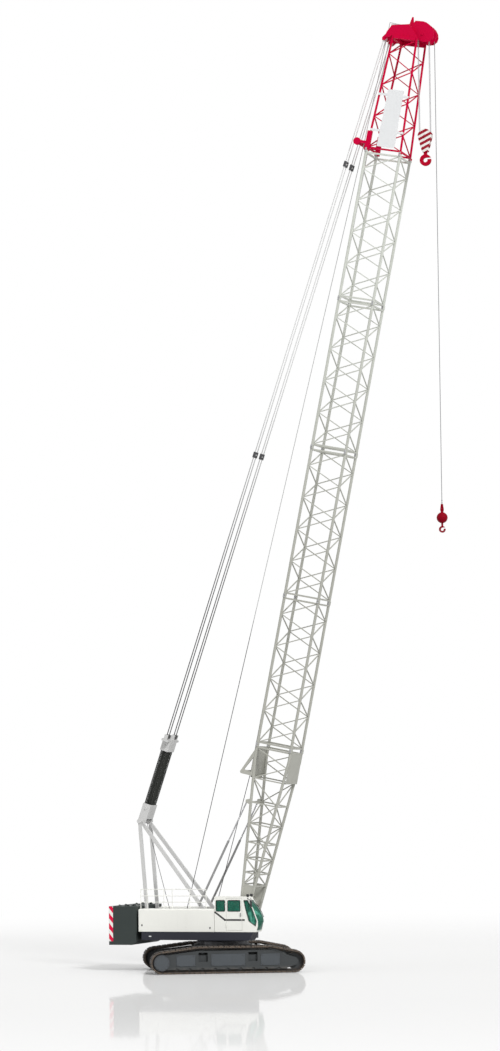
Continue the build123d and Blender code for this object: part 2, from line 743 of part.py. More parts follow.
# Cab: a hollow shell of roof, floor and walls, with its openings cut
def cab_block(inset, mode):
    """A block in the cab's side view, drawn in all round by inset."""
    with BuildSketch(Plane.XZ.offset(UPPER_HALF_WIDTH - inset)) as section:
        with BuildLine():
            Polyline(
                (CAB_REAR, CAB_ROOF),
                (CAB_REAR, DECK_TOP + SEAT),
                *CAB_FRONT,
                (CAB_ROOF_FRONT, CAB_ROOF),
                close=True,
            )
        make_face()
        if inset:
            offset(amount=-inset, kind=Kind.INTERSECTION)
    extrude(section.sketch, amount=-(UPPER_HALF_WIDTH + CAB_INNER_Y - 2 * inset), mode=mode)


def side_glass(inset):
    """The door window, the one behind it and the front quarter window."""
    rear_pane = ((CAB_REAR + 45, DOOR_REAR - 40), (WINDOW_LOW, WINDOW_TOP))
    door_pane = ((DOOR_REAR + 40, DOOR_FRONT - 45), (WINDOW_LOW, WINDOW_TOP))
    for (x_low, x_high), (z_low, z_high) in (rear_pane, door_pane):
        with Locations(((x_low + x_high) / 2, (z_low + z_high) / 2)):
            RectangleRounded(x_high - x_low - 2 * inset, z_high - z_low - 2 * inset, 30)


QUARTER = (
    (955, 1905),
    (1072, 1905),
    (1210, 1651),
    (1322, 1347),
    (1290, 1212),
    (1096, 1346),
    (1011, 1650),
)

HINGE_X = DOOR_REAR - DOOR_GAP / 2
HINGE_Y = -UPPER_HALF_WIDTH - HINGE_KNUCKLE


def hinge_knuckles(side, pin_radius):
    """The shell's lower halves with their pins, or the door's upper halves."""
    for height in HINGE_HEIGHTS:
        low = height + SEAT if side > 0 else height - HINGE_HALF
        with BuildSketch(Plane.XY.offset(low)) as section:
            with Locations((HINGE_X, HINGE_Y)):
                Circle(HINGE_KNUCKLE)
            with Locations((HINGE_X + side * HINGE_LEAF / 2, HINGE_Y + HINGE_KNUCKLE / 2)):
                Rectangle(HINGE_LEAF, HINGE_KNUCKLE)
            if side > 0:
                with Locations((HINGE_X, HINGE_Y)):
                    Circle(HINGE_PIN + SEAT, mode=Mode.SUBTRACT)
        extrude(section.sketch, amount=HINGE_HALF)
        if pin_radius:
            with BuildSketch(Plane.XY.offset(low)) as shank:
                with Locations((HINGE_X, HINGE_Y)):
                    Circle(pin_radius)
            extrude(shank.sketch, amount=2 * HINGE_HALF)


with BuildPart() as cab_shell:
    cab_block(0, Mode.ADD)
    cab_block(CAB_WALL, Mode.SUBTRACT)
    # windscreen opening, the whole width between the two side walls
    plate(
        rectangle(GLASS_X, CAB_FRONT[1][0] + 50, SCREEN[0][0] - SEAT, SCREEN[-1][0] + SEAT),
        CAB_WALL - UPPER_HALF_WIDTH,
        CAB_INNER_Y - CAB_WALL,
        mode=Mode.SUBTRACT,
    )
    # side windows in both walls
    with BuildSketch(Plane.XZ.offset(UPPER_HALF_WIDTH + 5)):
        side_glass(0)
        with BuildLine():
            Polyline(*QUARTER, close=True)
        make_face()
    extrude(amount=-(UPPER_HALF_WIDTH + CAB_INNER_Y + 10), mode=Mode.SUBTRACT)
    # doorway in the outer wall
    with BuildSketch(Plane.XZ.offset(UPPER_HALF_WIDTH + 5)):
        with Locations(((DOOR_REAR + DOOR_FRONT) / 2, (DOOR_LOW + DOOR_TOP) / 2)):
            Rectangle(DOOR_FRONT - DOOR_REAR + 2 * DOOR_GAP, DOOR_TOP - DOOR_LOW + 2 * DOOR_GAP)
    extrude(amount=-(CAB_WALL + 10), mode=Mode.SUBTRACT)
    hinge_knuckles(-1, HINGE_PIN)
save(cab_shell, "cab_shell")

with BuildPart() as cab_door:
    with BuildSketch(Plane.XZ.offset(UPPER_HALF_WIDTH)):
        with Locations(((DOOR_REAR + DOOR_FRONT) / 2, (DOOR_LOW + DOOR_TOP) / 2)):
            Rectangle(DOOR_FRONT - DOOR_REAR, DOOR_TOP - DOOR_LOW)
        with Locations(((DOOR_REAR + DOOR_FRONT) / 2 - 2.5, (WINDOW_LOW + WINDOW_TOP) / 2)):
            RectangleRounded(
                DOOR_FRONT - DOOR_REAR - 85, WINDOW_TOP - WINDOW_LOW, 30, mode=Mode.SUBTRACT
            )
    extrude(amount=-CAB_WALL)
    hinge_knuckles(1, 0)
save(cab_door, "cab_door")

with BuildPart() as windscreen:
    y_low, y_high = CAB_WALL + SEAT - UPPER_HALF_WIDTH, CAB_INNER_Y - CAB_WALL - SEAT
    shares = evenly(-1, 1, SCREEN_FACETS)
    for height, x, bulge in SCREEN:
        outside = [
            (x + bulge * (1 - t * t), (y_low + y_high + t * (y_high - y_low)) / 2) for t in shares
        ]
        inside = [(x_outer - GLASS, y) for x_outer, y in reversed(outside)]
        with BuildSketch(Plane.XY.offset(height)):
            with BuildLine():
                Polyline(*outside, *inside, close=True)
            make_face()
    loft(ruled=True)
save(windscreen, "cab_windscreen")

with BuildPart() as side_windows:
    for y_face in (-UPPER_HALF_WIDTH + (CAB_WALL - GLASS) / 2, CAB_INNER_Y - (CAB_WALL + GLASS) / 2):
        with BuildSketch(Plane.XZ.offset(-y_face)):
            if y_face > -UPPER_HALF_WIDTH + CAB_WALL:
                side_glass(SEAT)
            else:
                x_low, x_high = CAB_REAR + 45, DOOR_REAR - 40
                with Locations(((x_low + x_high) / 2, (WINDOW_LOW + WINDOW_TOP) / 2)):
                    RectangleRounded(
                        x_high - x_low - 2 * SEAT, WINDOW_TOP - WINDOW_LOW - 2 * SEAT, 30
                    )
            with BuildLine():
                Polyline(*QUARTER, close=True)
            make_face()
            offset(amount=-SEAT)
        extrude(amount=-GLASS)
save(side_windows, "cab_side_windows")

with BuildPart() as door_window:
    y_face = -UPPER_HALF_WIDTH + (CAB_WALL - GLASS) / 2
    with BuildSketch(Plane.XZ.offset(-y_face)):
        with Locations(((DOOR_REAR + DOOR_FRONT) / 2 - 2.5, (WINDOW_LOW + WINDOW_TOP) / 2)):
            RectangleRounded(
                DOOR_FRONT - DOOR_REAR - 85 - 2 * SEAT, WINDOW_TOP - WINDOW_LOW - 2 * SEAT, 30
            )
    extrude(amount=-GLASS)
save(door_window, "cab_door_window")

SEAT_X, SEAT_Y = 560.0, (CAB_INNER_Y - UPPER_HALF_WIDTH) / 2
CAB_FLOOR_TOP = DECK_TOP + SEAT + CAB_WALL
with BuildPart() as seat:
    with BuildSketch(Plane.XY.offset(CAB_FLOOR_TOP + SEAT)):
        with Locations((SEAT_X, SEAT_Y)):
            Rectangle(230, 180)
    extrude(amount=190)
    plate(
        (
            (SEAT_X - 130, CAB_FLOOR_TOP + 190),
            (SEAT_X + 150, CAB_FLOOR_TOP + 190),
            (SEAT_X + 150, CAB_FLOOR_TOP + 260),
            (SEAT_X - 70, CAB_FLOOR_TOP + 250),
            (SEAT_X - 150, CAB_FLOOR_TOP + 640),
            (SEAT_X - 210, CAB_FLOOR_TOP + 630),
        ),
        SEAT_Y - 125,
        SEAT_Y + 125,
    )
save(seat, "operator_seat")

with BuildPart() as console:
    for x, y_low, y_high, height in (
        (1060, SEAT_Y - 90, SEAT_Y + 90, 300),
        (700, SEAT_Y + 135, SEAT_Y + 180, 330),
    ):
        plate(
            (
                (x - 90, CAB_FLOOR_TOP + SEAT),
                (x + 90, CAB_FLOOR_TOP + SEAT),
                (x + 120, CAB_FLOOR_TOP + height),
                (x - 100, CAB_FLOOR_TOP + height + 60),
            ),
            y_low,
            y_high,
        )
save(console, "cab_consoles")

# Winches in the bay, each drum between its own two frame plates
with BuildPart() as drums:
    for x, z in WINCHES:
        steps = (
            (DRUM_SHAFT, WINCH_PLATE + SEAT),
            (DRUM_FLANGE, DRUM_RIM),
            (DRUM_RADIUS, 2 * (DRUM_HALF_WIDTH - DRUM_RIM)),
            (DRUM_FLANGE, DRUM_RIM),
            (DRUM_SHAFT, WINCH_PLATE + SEAT),
        )
        spool(x, z, steps, -DRUM_HALF_WIDTH - WINCH_PLATE - SEAT)
save(drums, "winch_drums")

with BuildPart() as winch_frames:
    for x, z in WINCHES:
        for side in (-1, 1):
            low, high = sorted(
                (side * (DRUM_HALF_WIDTH + SEAT), side * (DRUM_HALF_WIDTH + SEAT + WINCH_PLATE))
            )
            plate(
                (
                    (x - 150, DECK_TOP + SEAT),
                    (x + 150, DECK_TOP + SEAT),
                    (x + 80, z + 90),
                    (x - 80, z + 90),
                ),
                low,
                high,
            )
            pin(x, z, DRUM_SHAFT + SEAT, low, high, mode=Mode.SUBTRACT)
save(winch_frames, "winch_frames")


# Gantry: rear and front legs up to the tube that carries the lower spreader
def in_3d(point, y):
    return point[0], y, point[1]


def leg_axis(foot, foot_y, top_y, side):
    """One gantry leg's line, from its foot to the apex, and its direction."""
    start = Vector(*in_3d(foot, side * foot_y))
    end = Vector(*in_3d(APEX, side * top_y))
    return start, end, (end - start).normalized()


GANTRY_LEGS = (  # foot, Y of the foot and of the top, and width of each pair
    (REAR_FOOT, REAR_LEG_Y, REAR_LEG_Y, REAR_LEG),
    (FRONT_FOOT, FRONT_FOOT_Y, FRONT_TOP_Y, FRONT_LEG),
)


def make_legs(foot, foot_y, top_y, width):
    """A pair of gantry legs, cut level at their feet."""
    for side in (-1, 1):
        start, end, along = leg_axis(foot, foot_y, top_y, side)
        bar(start - along * width, end - along * APEX_REACH, LEG_DEPTH, width)
    split(bisect_by=Plane.XY.offset(foot[1]), keep=Keep.TOP)


with BuildPart() as rear_legs:
    make_legs(*GANTRY_LEGS[0])
save(rear_legs, "gantry_rear_legs")

with BuildPart() as front_legs:
    make_legs(*GANTRY_LEGS[1])
    for side in (-1, 1):
        low, high = sorted((side * (FRONT_FOOT_Y - LEG_DEPTH / 2), side * (BACKSTOP_Y + BACKSTOP_TUBE)))
        pin(*BACKSTOP_FOOT, BACKSTOP_PIN, low, high)
save(front_legs, "gantry_front_legs")

with BuildPart() as gantry_head:
    pin(*APEX, APEX_TUBE, -REAR_LEG_Y - 60, REAR_LEG_Y + 60)
    for side in (-1, 1):
        for foot, foot_y, top_y, width in GANTRY_LEGS:
            _, end, along = leg_axis(foot, foot_y, top_y, side)
            bar(end, end - along * (APEX_REACH - SEAT), LEG_DEPTH, width * 0.9)
save(gantry_head, "gantry_head")


def spreader(low, shaft, top, hang):
    """Box of four walls round a row of sheaves, in the pendant line's frame."""
    half_depth = SPREADER_SHEAVE + 1.6 * ROPE + SPREADER_WALL
    for side in (-1, 1):
        y_low, y_high = sorted((side * SPREADER_HALF_WIDTH, side * (SPREADER_HALF_WIDTH - SPREADER_PLATE)))
        plate(
            ((-half_depth, low), (half_depth, low), (half_depth, top), (-half_depth, top)),
            y_low,
            y_high,
        )
    for x in (-half_depth, half_depth - SPREADER_WALL):
        plate(
            (
                (x, low + hang),
                (x + SPREADER_WALL, low + hang),
                (x + SPREADER_WALL, top),
                (x, top),
            ),
            -SPREADER_HALF_WIDTH + 5,
            SPREADER_HALF_WIDTH - 5,
        )
    pin(0, shaft, 30, -SPREADER_HALF_WIDTH - 20, SPREADER_HALF_WIDTH + 20)


REEVING_Y = [(k - (SPREADER_SHEAVES - 1) / 2) * REEVING_PITCH for k in range(SPREADER_SHEAVES)]


def sheave_row(shaft):
    """Sheaves side by side on one sleeve."""
    half = SPREADER_HALF_WIDTH - SPREADER_PLATE - SEAT
    for y in REEVING_Y:
        low, high = y - GROOVED_WIDTH / 2, y + GROOVED_WIDTH / 2
        rod((0, low, shaft), (0, high, shaft), 2 * SPREADER_SHEAVE, 20, (1, 0, 0))
    pin(0, shaft, 52, -half, half)
    pin(0, shaft, 30 + SEAT, -half, half, mode=Mode.SUBTRACT)


with BuildPart() as lower_spreader:
    spreader(-80, LOWER_SHAFT, LOWER_TOP, 170)
    for side in (-1, 1):
        low, high = sorted((side * SPREADER_HALF_WIDTH, side * (SPREADER_HALF_WIDTH - SPREADER_PLATE)))
        pin(0, 0, APEX_TUBE + 1, low, high, mode=Mode.SUBTRACT)
save(lower_spreader, "lower_spreader", LINE_PLACE)

with BuildPart() as lower_sheaves:
    sheave_row(LOWER_SHAFT)
save(lower_sheaves, "lower_spreader_sheaves", LINE_PLACE)

PENDANT_HALF = PENDANT_PITCH / 2 + 24  # half the width of a pair's end links
with BuildPart() as upper_spreader:
    spreader(UPPER_LOW, UPPER_SHAFT, UPPER_TOP, 0)
    for side in (-1, 1):
        y = side * PENDANT_Y
        for ear in (-1, 1):
            low, high = sorted((y + ear * (PENDANT_HALF + 2), y + ear * (PENDANT_HALF + 20)))
            plate(rectangle(-50, 50, UPPER_TOP - 30, UPPER_TOP + 125), low, high)
        pin(0, UPPER_TOP + 80, LUG_PIN, y - PENDANT_HALF - 20, y + PENDANT_HALF + 20)
    plate(
        rectangle(-BRIDLE_DEPTH / 2, BRIDLE_DEPTH / 2, UPPER_TOP - 60, UPPER_TOP),
        -BRIDLE_HALF_WIDTH,
        BRIDLE_HALF_WIDTH,
    )
save(upper_spreader, "upper_spreader", LINE_PLACE)

with BuildPart() as upper_sheaves:
    sheave_row(UPPER_SHAFT)
save(upper_sheaves, "upper_spreader_sheaves", LINE_PLACE)

with BuildPart() as reeving:
    for y in REEVING_Y:
        for x in (-1, 1):
            x_rope = x * (SPREADER_SHEAVE + 2 * SEAT + ROPE_REACH)
            rod((x_rope, y, LOWER_SHAFT), (x_rope, y, UPPER_SHAFT), ROPE, 6)
save(reeving, "boom_hoist_reeving", LINE_PLACE)

# Pendants: two bars a side, with link plates at their joints
for side, word in ((-1, "right"), (1, "left")):
    with BuildPart() as pendant:
        y = side * PENDANT_Y
        for y_bar in (y - PENDANT_PITCH / 2, y + PENDANT_PITCH / 2):
            rod((0, y_bar, UPPER_TOP + 80), (0, y_bar, LINE_LENGTH), PENDANT_BAR, 6)
            for share in CONNECTORS:
                low = LINE_LENGTH * share - CONNECTOR_LENGTH / 2
                bar((0, y_bar, low), (0, y_bar, low + CONNECTOR_LENGTH), 44, 60)
        for share in CONNECTORS:
            pin(0, LINE_LENGTH * share, LUG_PIN, y - PENDANT_HALF, y + PENDANT_HALF)
        for end in (UPPER_TOP + 80, LINE_LENGTH):
            bar((0, y, end - 45), (0, y, end + 45), 2 * PENDANT_HALF, 76)
            pin(0, end, LUG_PIN + SEAT, y - PENDANT_HALF - 1, y + PENDANT_HALF + 1, mode=Mode.SUBTRACT)
    save(pendant, f"pendant_{word}", LINE_PLACE)


# Boom: lattice sections of four chords, with one lacing a panel on each face
def butt_half_depth(z):
    share = min(z / TAPER_END, 1)
    return (FOOT_DEPTH + (BOOM_DEPTH - FOOT_DEPTH) * share) / 2


def corners_at(half_depth, half_width, z):
    """Rear right, front right, front left and rear left chord centres."""
    return (
        (-half_depth, -half_width, z),
        (half_depth, -half_width, z),
        (half_depth, half_width, z),
        (-half_depth, half_width, z),
    )


def lattice(levels, faces=(0, 1, 2, 3)):
    """Lacings between successive levels, each a height's four chord centres."""
    for k in range(len(levels) - 1):
        for face in faces:
            a, b = face, (face + 1) % 4
            if (k + face) % 2:
                a, b = b, a
            facing = (0, 1, 0) if face % 2 == 0 else (1, 0, 0)
            bar(levels[k][a], levels[k + 1][b], LACING, LACING, facing, trim=CHORD * 0.3)


def cross_struts(level, size, faces=(0, 1, 2, 3)):
    for face in faces:
        facing = (0, 1, 0) if face % 2 == 0 else (1, 0, 0)
        bar(level[face], level[(face + 1) % 4], size, size, facing, trim=CHORD * 0.3)


def growing(low, high, count, ratio):
    """Heights from low to high whose steps grow by a ratio."""
    return [low + (high - low) * (ratio**k - 1) / (ratio**count - 1) for k in range(count + 1)]


def straight_level(z):
    return corners_at(BOOM_DEPTH / 2, BOOM_WIDTH / 2, z)


def butt_level(z):
    return corners_at(butt_half_depth(z), BOOM_WIDTH / 2, z)


def tip_level(z):
    share = z / TIP_LENGTH
    half_depth = (BOOM_DEPTH + (TIP_DEPTH - BOOM_DEPTH) * share) / 2
    half_width = (BOOM_WIDTH + (TIP_WIDTH - BOOM_WIDTH) * share) / 2
    return corners_at(half_depth, half_width, z)


def joint_blocks(level, z_low, z_high):
    """The pinned ends of the chords."""
    for x, y, _ in level:
        rod((x, y, z_low), (x, y, z_high), JOINT_BLOCK, 8)


def deflector_arms(x, z):
    """Plates on the tip's rear chords, each with an arm and a disc at its end."""
    half = ARM_THICKNESS / 2
    base, top = DEFLECTOR_ARM
    chord_x = -BOOM_DEPTH / 2 + 12
    for side in (-1, 1):
        y = side * BOOM_WIDTH / 2
        plate(rectangle(chord_x - ARM_WIDTH / 2, chord_x + ARM_WIDTH / 2, base, top), y - half, y + half)
        plate(rectangle(x, chord_x, z - ARM_DEPTH / 2, z + ARM_DEPTH / 2), y - half, y + half)
        pin(x, z, ARM_RADIUS, y - half, y + half)
        pin(x, z, ROLLER_SHAFT + SEAT, y - half - 1, y + half + 1, mode=Mode.SUBTRACT)


def guide_brackets(x, z):
    """Open three-cornered brackets on the butt's rear chords."""
    half = BRACKET_THICKNESS / 2
    low, high = GUIDE_ARM
    chord_x = -BOOM_DEPTH / 2
    for side in (-1, 1):
        y = side * BOOM_WIDTH / 2
        plate(
            (
                (chord_x + CHORD / 2, high),
                (chord_x - CHORD / 2, high),
                (x - BRACKET_TIP, z),
                (x, z - BRACKET_TIP),
                (chord_x + CHORD / 2, low),
            ),
            y - half,
            y + half,
        )
        pin(x, z, BRACKET_TIP, y - half, y + half)
        plate(
            (
                (chord_x - CHORD / 2, high - 210),
                (x + BRACKET_TIP, z + 70),
                (chord_x - CHORD / 2, z + 40),
            ),
            y - half - 1,
            y + half + 1,
            mode=Mode.SUBTRACT,
        )
        pin(x, z, ROLLER_SHAFT + SEAT, y - half - 1, y + half + 1, mode=Mode.SUBTRACT)


LEADS = (  # drum, roller centre and radius, and Y of each hoist rope
    (WINCHES[1], DEFLECTOR, DEFLECTOR_RADIUS, DEFLECTOR_Y),
    (WINCHES[0], GUIDE, GUIDE_RADIUS, GUIDE_Y),
)


with BuildPart() as boom_insert:
    for corner in range(4):
        x, y, _ = straight_level(0)[corner]
        rod((x, y, 0), (x, y, INSERT_LENGTH - SEAT), CHORD)
    joint_blocks(straight_level(0), 0, JOINT_HEIGHT / 2)
    joint_blocks(straight_level(0), INSERT_LENGTH - SEAT - JOINT_HEIGHT / 2, INSERT_LENGTH - SEAT)
    lattice([straight_level(z) for z in evenly(END_MARGIN, INSERT_LENGTH - END_MARGIN, INSERT_PANELS)])
    for z in (END_MARGIN, INSERT_LENGTH - END_MARGIN):
        cross_struts(straight_level(z), STRUT)
for k in range(INSERT_COUNT):
    along = Location((0, 0, BUTT_LENGTH + k * INSERT_LENGTH))
    save(boom_insert, f"boom_insert_{k + 1}", FOOT_PLACE * along)

with BuildPart() as boom_butt:
    for corner in range(4):
        low, high = butt_level(0)[corner], butt_level(TAPER_END)[corner]
        rod(low, high, CHORD)
        x, y, _ = high
        rod((x, y, TAPER_END - 20), (x, y, BUTT_LENGTH - SEAT), CHORD)
    joint_blocks(straight_level(0), BUTT_LENGTH - SEAT - JOINT_HEIGHT / 2, BUTT_LENGTH - SEAT)
    heights = growing(BUTT_WEB_TOP, PLATE_LOW, BUTT_PANELS, BUTT_GROWTH)
    lattice([butt_level(z) for z in heights])
    lattice([butt_level(z) for z in evenly(PLATE_LOW, PLATE_HIGH, 2)], faces=(0, 2))
    for z in heights:
        cross_struts(butt_level(z), BUTT_STRUT)
    cross_struts(butt_level(BUTT_LENGTH - END_MARGIN), STRUT)
    half_width = BOOM_WIDTH / 2
    for side in (-1, 1):
        y_low, y_high = side * half_width - 14, side * half_width + 14
        depth_low, depth_high = butt_half_depth(0), butt_half_depth(BUTT_WEB_TOP)
        plate(
            (
                (-depth_low, 0),
                (depth_low, 0),
                (depth_high, BUTT_WEB_TOP),
                (-depth_high, BUTT_WEB_TOP),
            ),
            y_low,
            y_high,
        )
        y_low, y_high = side * half_width - BOSS_WIDTH / 2, side * half_width + BOSS_WIDTH / 2
        pin(0, 0, BOSS_RADIUS, y_low, y_high)
        pin(0, 0, FOOT_PIN, y_low - 1, y_high + 1, mode=Mode.SUBTRACT)
    bar((0, -half_width, 420), (0, half_width, 420), 120, 120, (1, 0, 0))
    for x in (-1, 1):
        x_plate = x * (BOOM_DEPTH / 2 + CHORD / 2 - 12)
        bar((x_plate, 0, PLATE_LOW), (x_plate, 0, PLATE_HIGH), BOOM_WIDTH, 16)
    for side in (-1, 1):
        y = side * BACKSTOP_Y
        x_chord = -butt_half_depth(BACKSTOP_Z)
        for wall in (-1, 1):
            low, high = sorted((y + wall * 26, y + wall * 35))
            plate(
                (
                    (x_chord, BACKSTOP_Z - 90),
                    (x_chord, BACKSTOP_Z + 90),
                    (x_chord - BACKSTOP_OFFSET - 30, BACKSTOP_Z + 30),
                    (x_chord - BACKSTOP_OFFSET - 30, BACKSTOP_Z - 30),
                ),
                low,
                high,
            )
    guide_brackets(*GUIDE)
save(boom_butt, "boom_butt", FOOT_PLACE)

with BuildPart() as boom_tip:
    for corner in range(4):
        rod(tip_level(-CHORD)[corner], tip_level(TIP_LENGTH + CHORD)[corner], TIP_CHORD)
    joint_blocks(tip_level(0), 0, JOINT_HEIGHT / 2)
    # the last panel's front is open, for the main falls
    levels = [tip_level(z) for z in evenly(END_MARGIN, TIP_LENGTH - END_MARGIN, TIP_PANELS)]
    lattice(levels, faces=(0, 2, 3))
    lattice(levels[:-1], faces=(1,))
    cross_struts(tip_level(END_MARGIN), STRUT)
    cross_struts(tip_level(TIP_LENGTH - TIP_BEAM / 2), TIP_BEAM, faces=(0, 2, 3))
    split(bisect_by=Plane.XY, keep=Keep.TOP)
    split(bisect_by=Plane.XY.offset(TIP_LENGTH - SEAT), keep=Keep.BOTTOM)
    deflector_arms(DEFLECTOR[0], DEFLECTOR[1] - TIP_BASE)
save(boom_tip, "boom_tip", FOOT_PLACE * Location((0, 0, TIP_BASE)))


# Head: a box between two side plates, and cheek plates that carry the sheaves
def raised(outline):
    """An outline given over the tip, at its place on the boom."""
    return [(x, HEAD_BASE + z) for x, z in outline]


with BuildPart() as boom_head:
    for side in (-1, 1):
        low, high = sorted((side * HEAD_HALF_WIDTH, side * (HEAD_HALF_WIDTH - HEAD_PLATE)))
        plate(raised(SIDE_OUTLINE), low, high)
    plate(raised(BOX_OUTLINE), -HEAD_HALF_WIDTH + 5, HEAD_HALF_WIDTH - 5)
    plate(raised(PEAK_OUTLINE), -PEAK_HALF_WIDTH, PEAK_HALF_WIDTH)
    for y in CHEEK_Y:
        plate(raised(CHEEK_OUTLINE), y - CHEEK_PLATE / 2, y + CHEEK_PLATE / 2)
    for side in (-1, 1):
        y = side * PENDANT_Y
        gap = PENDANT_HALF + 2
        for wall in (-1, 1):
            low, high = sorted((y + wall * gap, y + wall * (gap + 16)))
            plate(
                (
                    (-430, HEAD_BASE + 180),
                    (-400, HEAD_BASE + 20),
                    (REAR_LUG[0] + 40, REAR_LUG[1] - 40),
                    (REAR_LUG[0] - 30, REAR_LUG[1] - 45),
                    (REAR_LUG[0] - 45, REAR_LUG[1] + 30),
                    (-520, HEAD_BASE + 76),
                ),
                low,
                high,
            )
        pin(*REAR_LUG, LUG_PIN, y - gap - 16, y + gap + 16)
    pin(*MAIN_SHAFT, SHAFT_RADIUS, CHEEK_Y[0] - 30, CHEEK_Y[1])
    pin(*NOSE_SHAFT, SHAFT_RADIUS, CHEEK_Y[1], CHEEK_Y[2] + 30)
save(boom_head, "boom_head", FOOT_PLACE)


def groove_sheave(x, z, y):
    """One sheave with a V groove round its rim."""
    rim = SHEAVE_WIDTH / 2
    bore = SHAFT_RADIUS + SEAT
    spool_points = (
        (bore, y - rim),
        (SHEAVE_RADIUS, y - rim),
        (SHEAVE_RADIUS, y - rim + 8),
        (SHEAVE_RADIUS - 26, y),
        (SHEAVE_RADIUS, y + rim - 8),
        (SHEAVE_RADIUS, y + rim),
        (bore, y + rim),
    )
    with BuildSketch(Plane(origin=(x, 0, z), x_dir=(1, 0, 0), z_dir=(0, 0, 1))) as section:
        with BuildLine():
            Polyline(*spool_points, close=True)
        make_face()
    revolve(section.sketch, axis=Axis((x, 0, z), (0, 1, 0)))


with BuildPart() as head_sheaves:
    for y in MAIN_SHEAVE_Y:
        groove_sheave(*MAIN_SHAFT, y)
    groove_sheave(*NOSE_SHAFT, SINGLE_SHEAVE_Y)
save(head_sheaves, "head_sheaves", FOOT_PLACE)

# Rollers that lead the hoist ropes up the boom's back
for name, place, radius, thickness in (
    ("rope_rollers", DEFLECTOR, DEFLECTOR_RADIUS, ARM_THICKNESS),
    ("guide_roller", GUIDE, GUIDE_RADIUS, BRACKET_THICKNESS),
):
    inner, outer = (BOOM_WIDTH - thickness) / 2 - 2, (BOOM_WIDTH + thickness) / 2
    with BuildPart() as roller:
        pin(*place, radius, -inner, inner)
        pin(*place, ROLLER_SHAFT, -outer, outer)
    save(roller, name, FOOT_PLACE)

SIDE_SLOPE = atan2((BOOM_WIDTH - TIP_WIDTH) / 2, TIP_LENGTH)
SIGN_PLANE = Plane(  # on the right chords of the tip
    origin=(0, -BOOM_WIDTH / 2 - TIP_CHORD / 2 - SEAT, TIP_BASE),
    x_dir=(1, 0, 0),
    z_dir=(0, -cos(SIDE_SLOPE), sin(SIDE_SLOPE)),
)
with BuildPart() as sign:
    with BuildSketch(SIGN_PLANE):
        for z in SIGN_RAILS:
            with Locations((0, z)):
                Rectangle(2 * tip_level(z)[1][0] + CHORD / 2, SIGN_RAIL)
    extrude(amount=SIGN_RAIL_DEPTH)
    with BuildSketch(SIGN_PLANE.offset(SIGN_RAIL_DEPTH)):
        with BuildLine():
            Polyline(
                (SIGN_X - SIGN_LOW_WIDTH / 2, SIGN_LOW),
                (SIGN_X + SIGN_LOW_WIDTH / 2, SIGN_LOW),
                (SIGN_X + SIGN_HIGH_WIDTH / 2, SIGN_HIGH),
                (SIGN_X - SIGN_HIGH_WIDTH / 2, SIGN_HIGH),
                close=True,
            )
        make_face()
    extrude(amount=SIGN_THICKNESS)
save(sign, "sign_panel", FOOT_PLACE)


# Hoist ropes from the drums to the rollers, and on up to the head
def touching(start, centre, radius, hand):
    """Where a line from start touches a circle, on the side given by hand."""
    dx, dz = centre[0] - start[0], centre[1] - start[1]
    reach = hypot(dx, dz)
    lean = atan2(dx, dz) + hand * asin(radius / reach)
    length = sqrt(reach * reach - radius * radius)
    return start[0] + length * sin(lean), start[1] + length * cos(lean)


with BuildPart() as hoist_ropes:
    for drum, centre, radius, y in LEADS:
        off_drum = (drum[0] + DRUM_RADIUS + ROPE_REACH + SEAT, drum[1])
        lead = touching(off_drum, on_boom(*centre), radius + ROPE_REACH + SEAT, 1)
        rod(in_3d(off_drum, y), in_3d(lead, y), ROPE, 6)
save(hoist_ropes, "hoist_ropes")

with BuildPart() as boom_ropes:
    for _, centre, radius, y in LEADS:
        lead = touching(ROPE_END, centre, radius + ROPE_REACH + SEAT, -1)
        rod((lead[0], y, lead[1] + ROPE_JOIN), in_3d(ROPE_END, y), ROPE, 6)
save(boom_ropes, "boom_ropes", FOOT_PLACE)

# Backstops: tubes pinned to the gantry's front legs, rods up to the boom
BACKSTOP_EYE = (-butt_half_depth(BACKSTOP_Z) - BACKSTOP_OFFSET, BACKSTOP_Z)
EYE_WORLD = on_boom(*BACKSTOP_EYE)
BACKSTOP_LENGTH = hypot(EYE_WORLD[0] - BACKSTOP_FOOT[0], EYE_WORLD[1] - BACKSTOP_FOOT[1])
BACKSTOP_LEAN = degrees(atan2(EYE_WORLD[0] - BACKSTOP_FOOT[0], EYE_WORLD[1] - BACKSTOP_FOOT[1]))
BACKSTOP_PLACE = Location((BACKSTOP_FOOT[0], 0, BACKSTOP_FOOT[1]), (0, BACKSTOP_LEAN, 0))
with BuildPart() as backstop_tubes:
    for y in (-BACKSTOP_Y, BACKSTOP_Y):
        with BuildSketch(Plane.XY):
            with Locations((0, y)):
                Circle(BACKSTOP_TUBE)
        extrude(amount=BACKSTOP_TUBE_LENGTH)
        with BuildSketch(Plane.XY.offset(40)):
            with Locations((0, y)):
                Circle(BACKSTOP_ROD + SEAT)
        extrude(amount=BACKSTOP_TUBE_LENGTH, mode=Mode.SUBTRACT)
        pin(0, 0, BACKSTOP_TUBE, y - BACKSTOP_TUBE + 4, y + BACKSTOP_TUBE)
        pin(0, 0, BACKSTOP_PIN + SEAT, y - 40, y + 40, mode=Mode.SUBTRACT)
save(backstop_tubes, "backstop_tubes", BACKSTOP_PLACE)

with BuildPart() as backstop_rods:
    for y in (-BACKSTOP_Y, BACKSTOP_Y):
        with BuildSketch(Plane.XY.offset(BACKSTOP_ROD_START)):
            with Locations((0, y)):
                Circle(BACKSTOP_ROD)
        extrude(amount=BACKSTOP_LENGTH - BACKSTOP_ROD_START)
        pin(0, BACKSTOP_LENGTH, 26, y - 22, y + 22)
save(backstop_rods, "backstop_rods", BACKSTOP_PLACE)

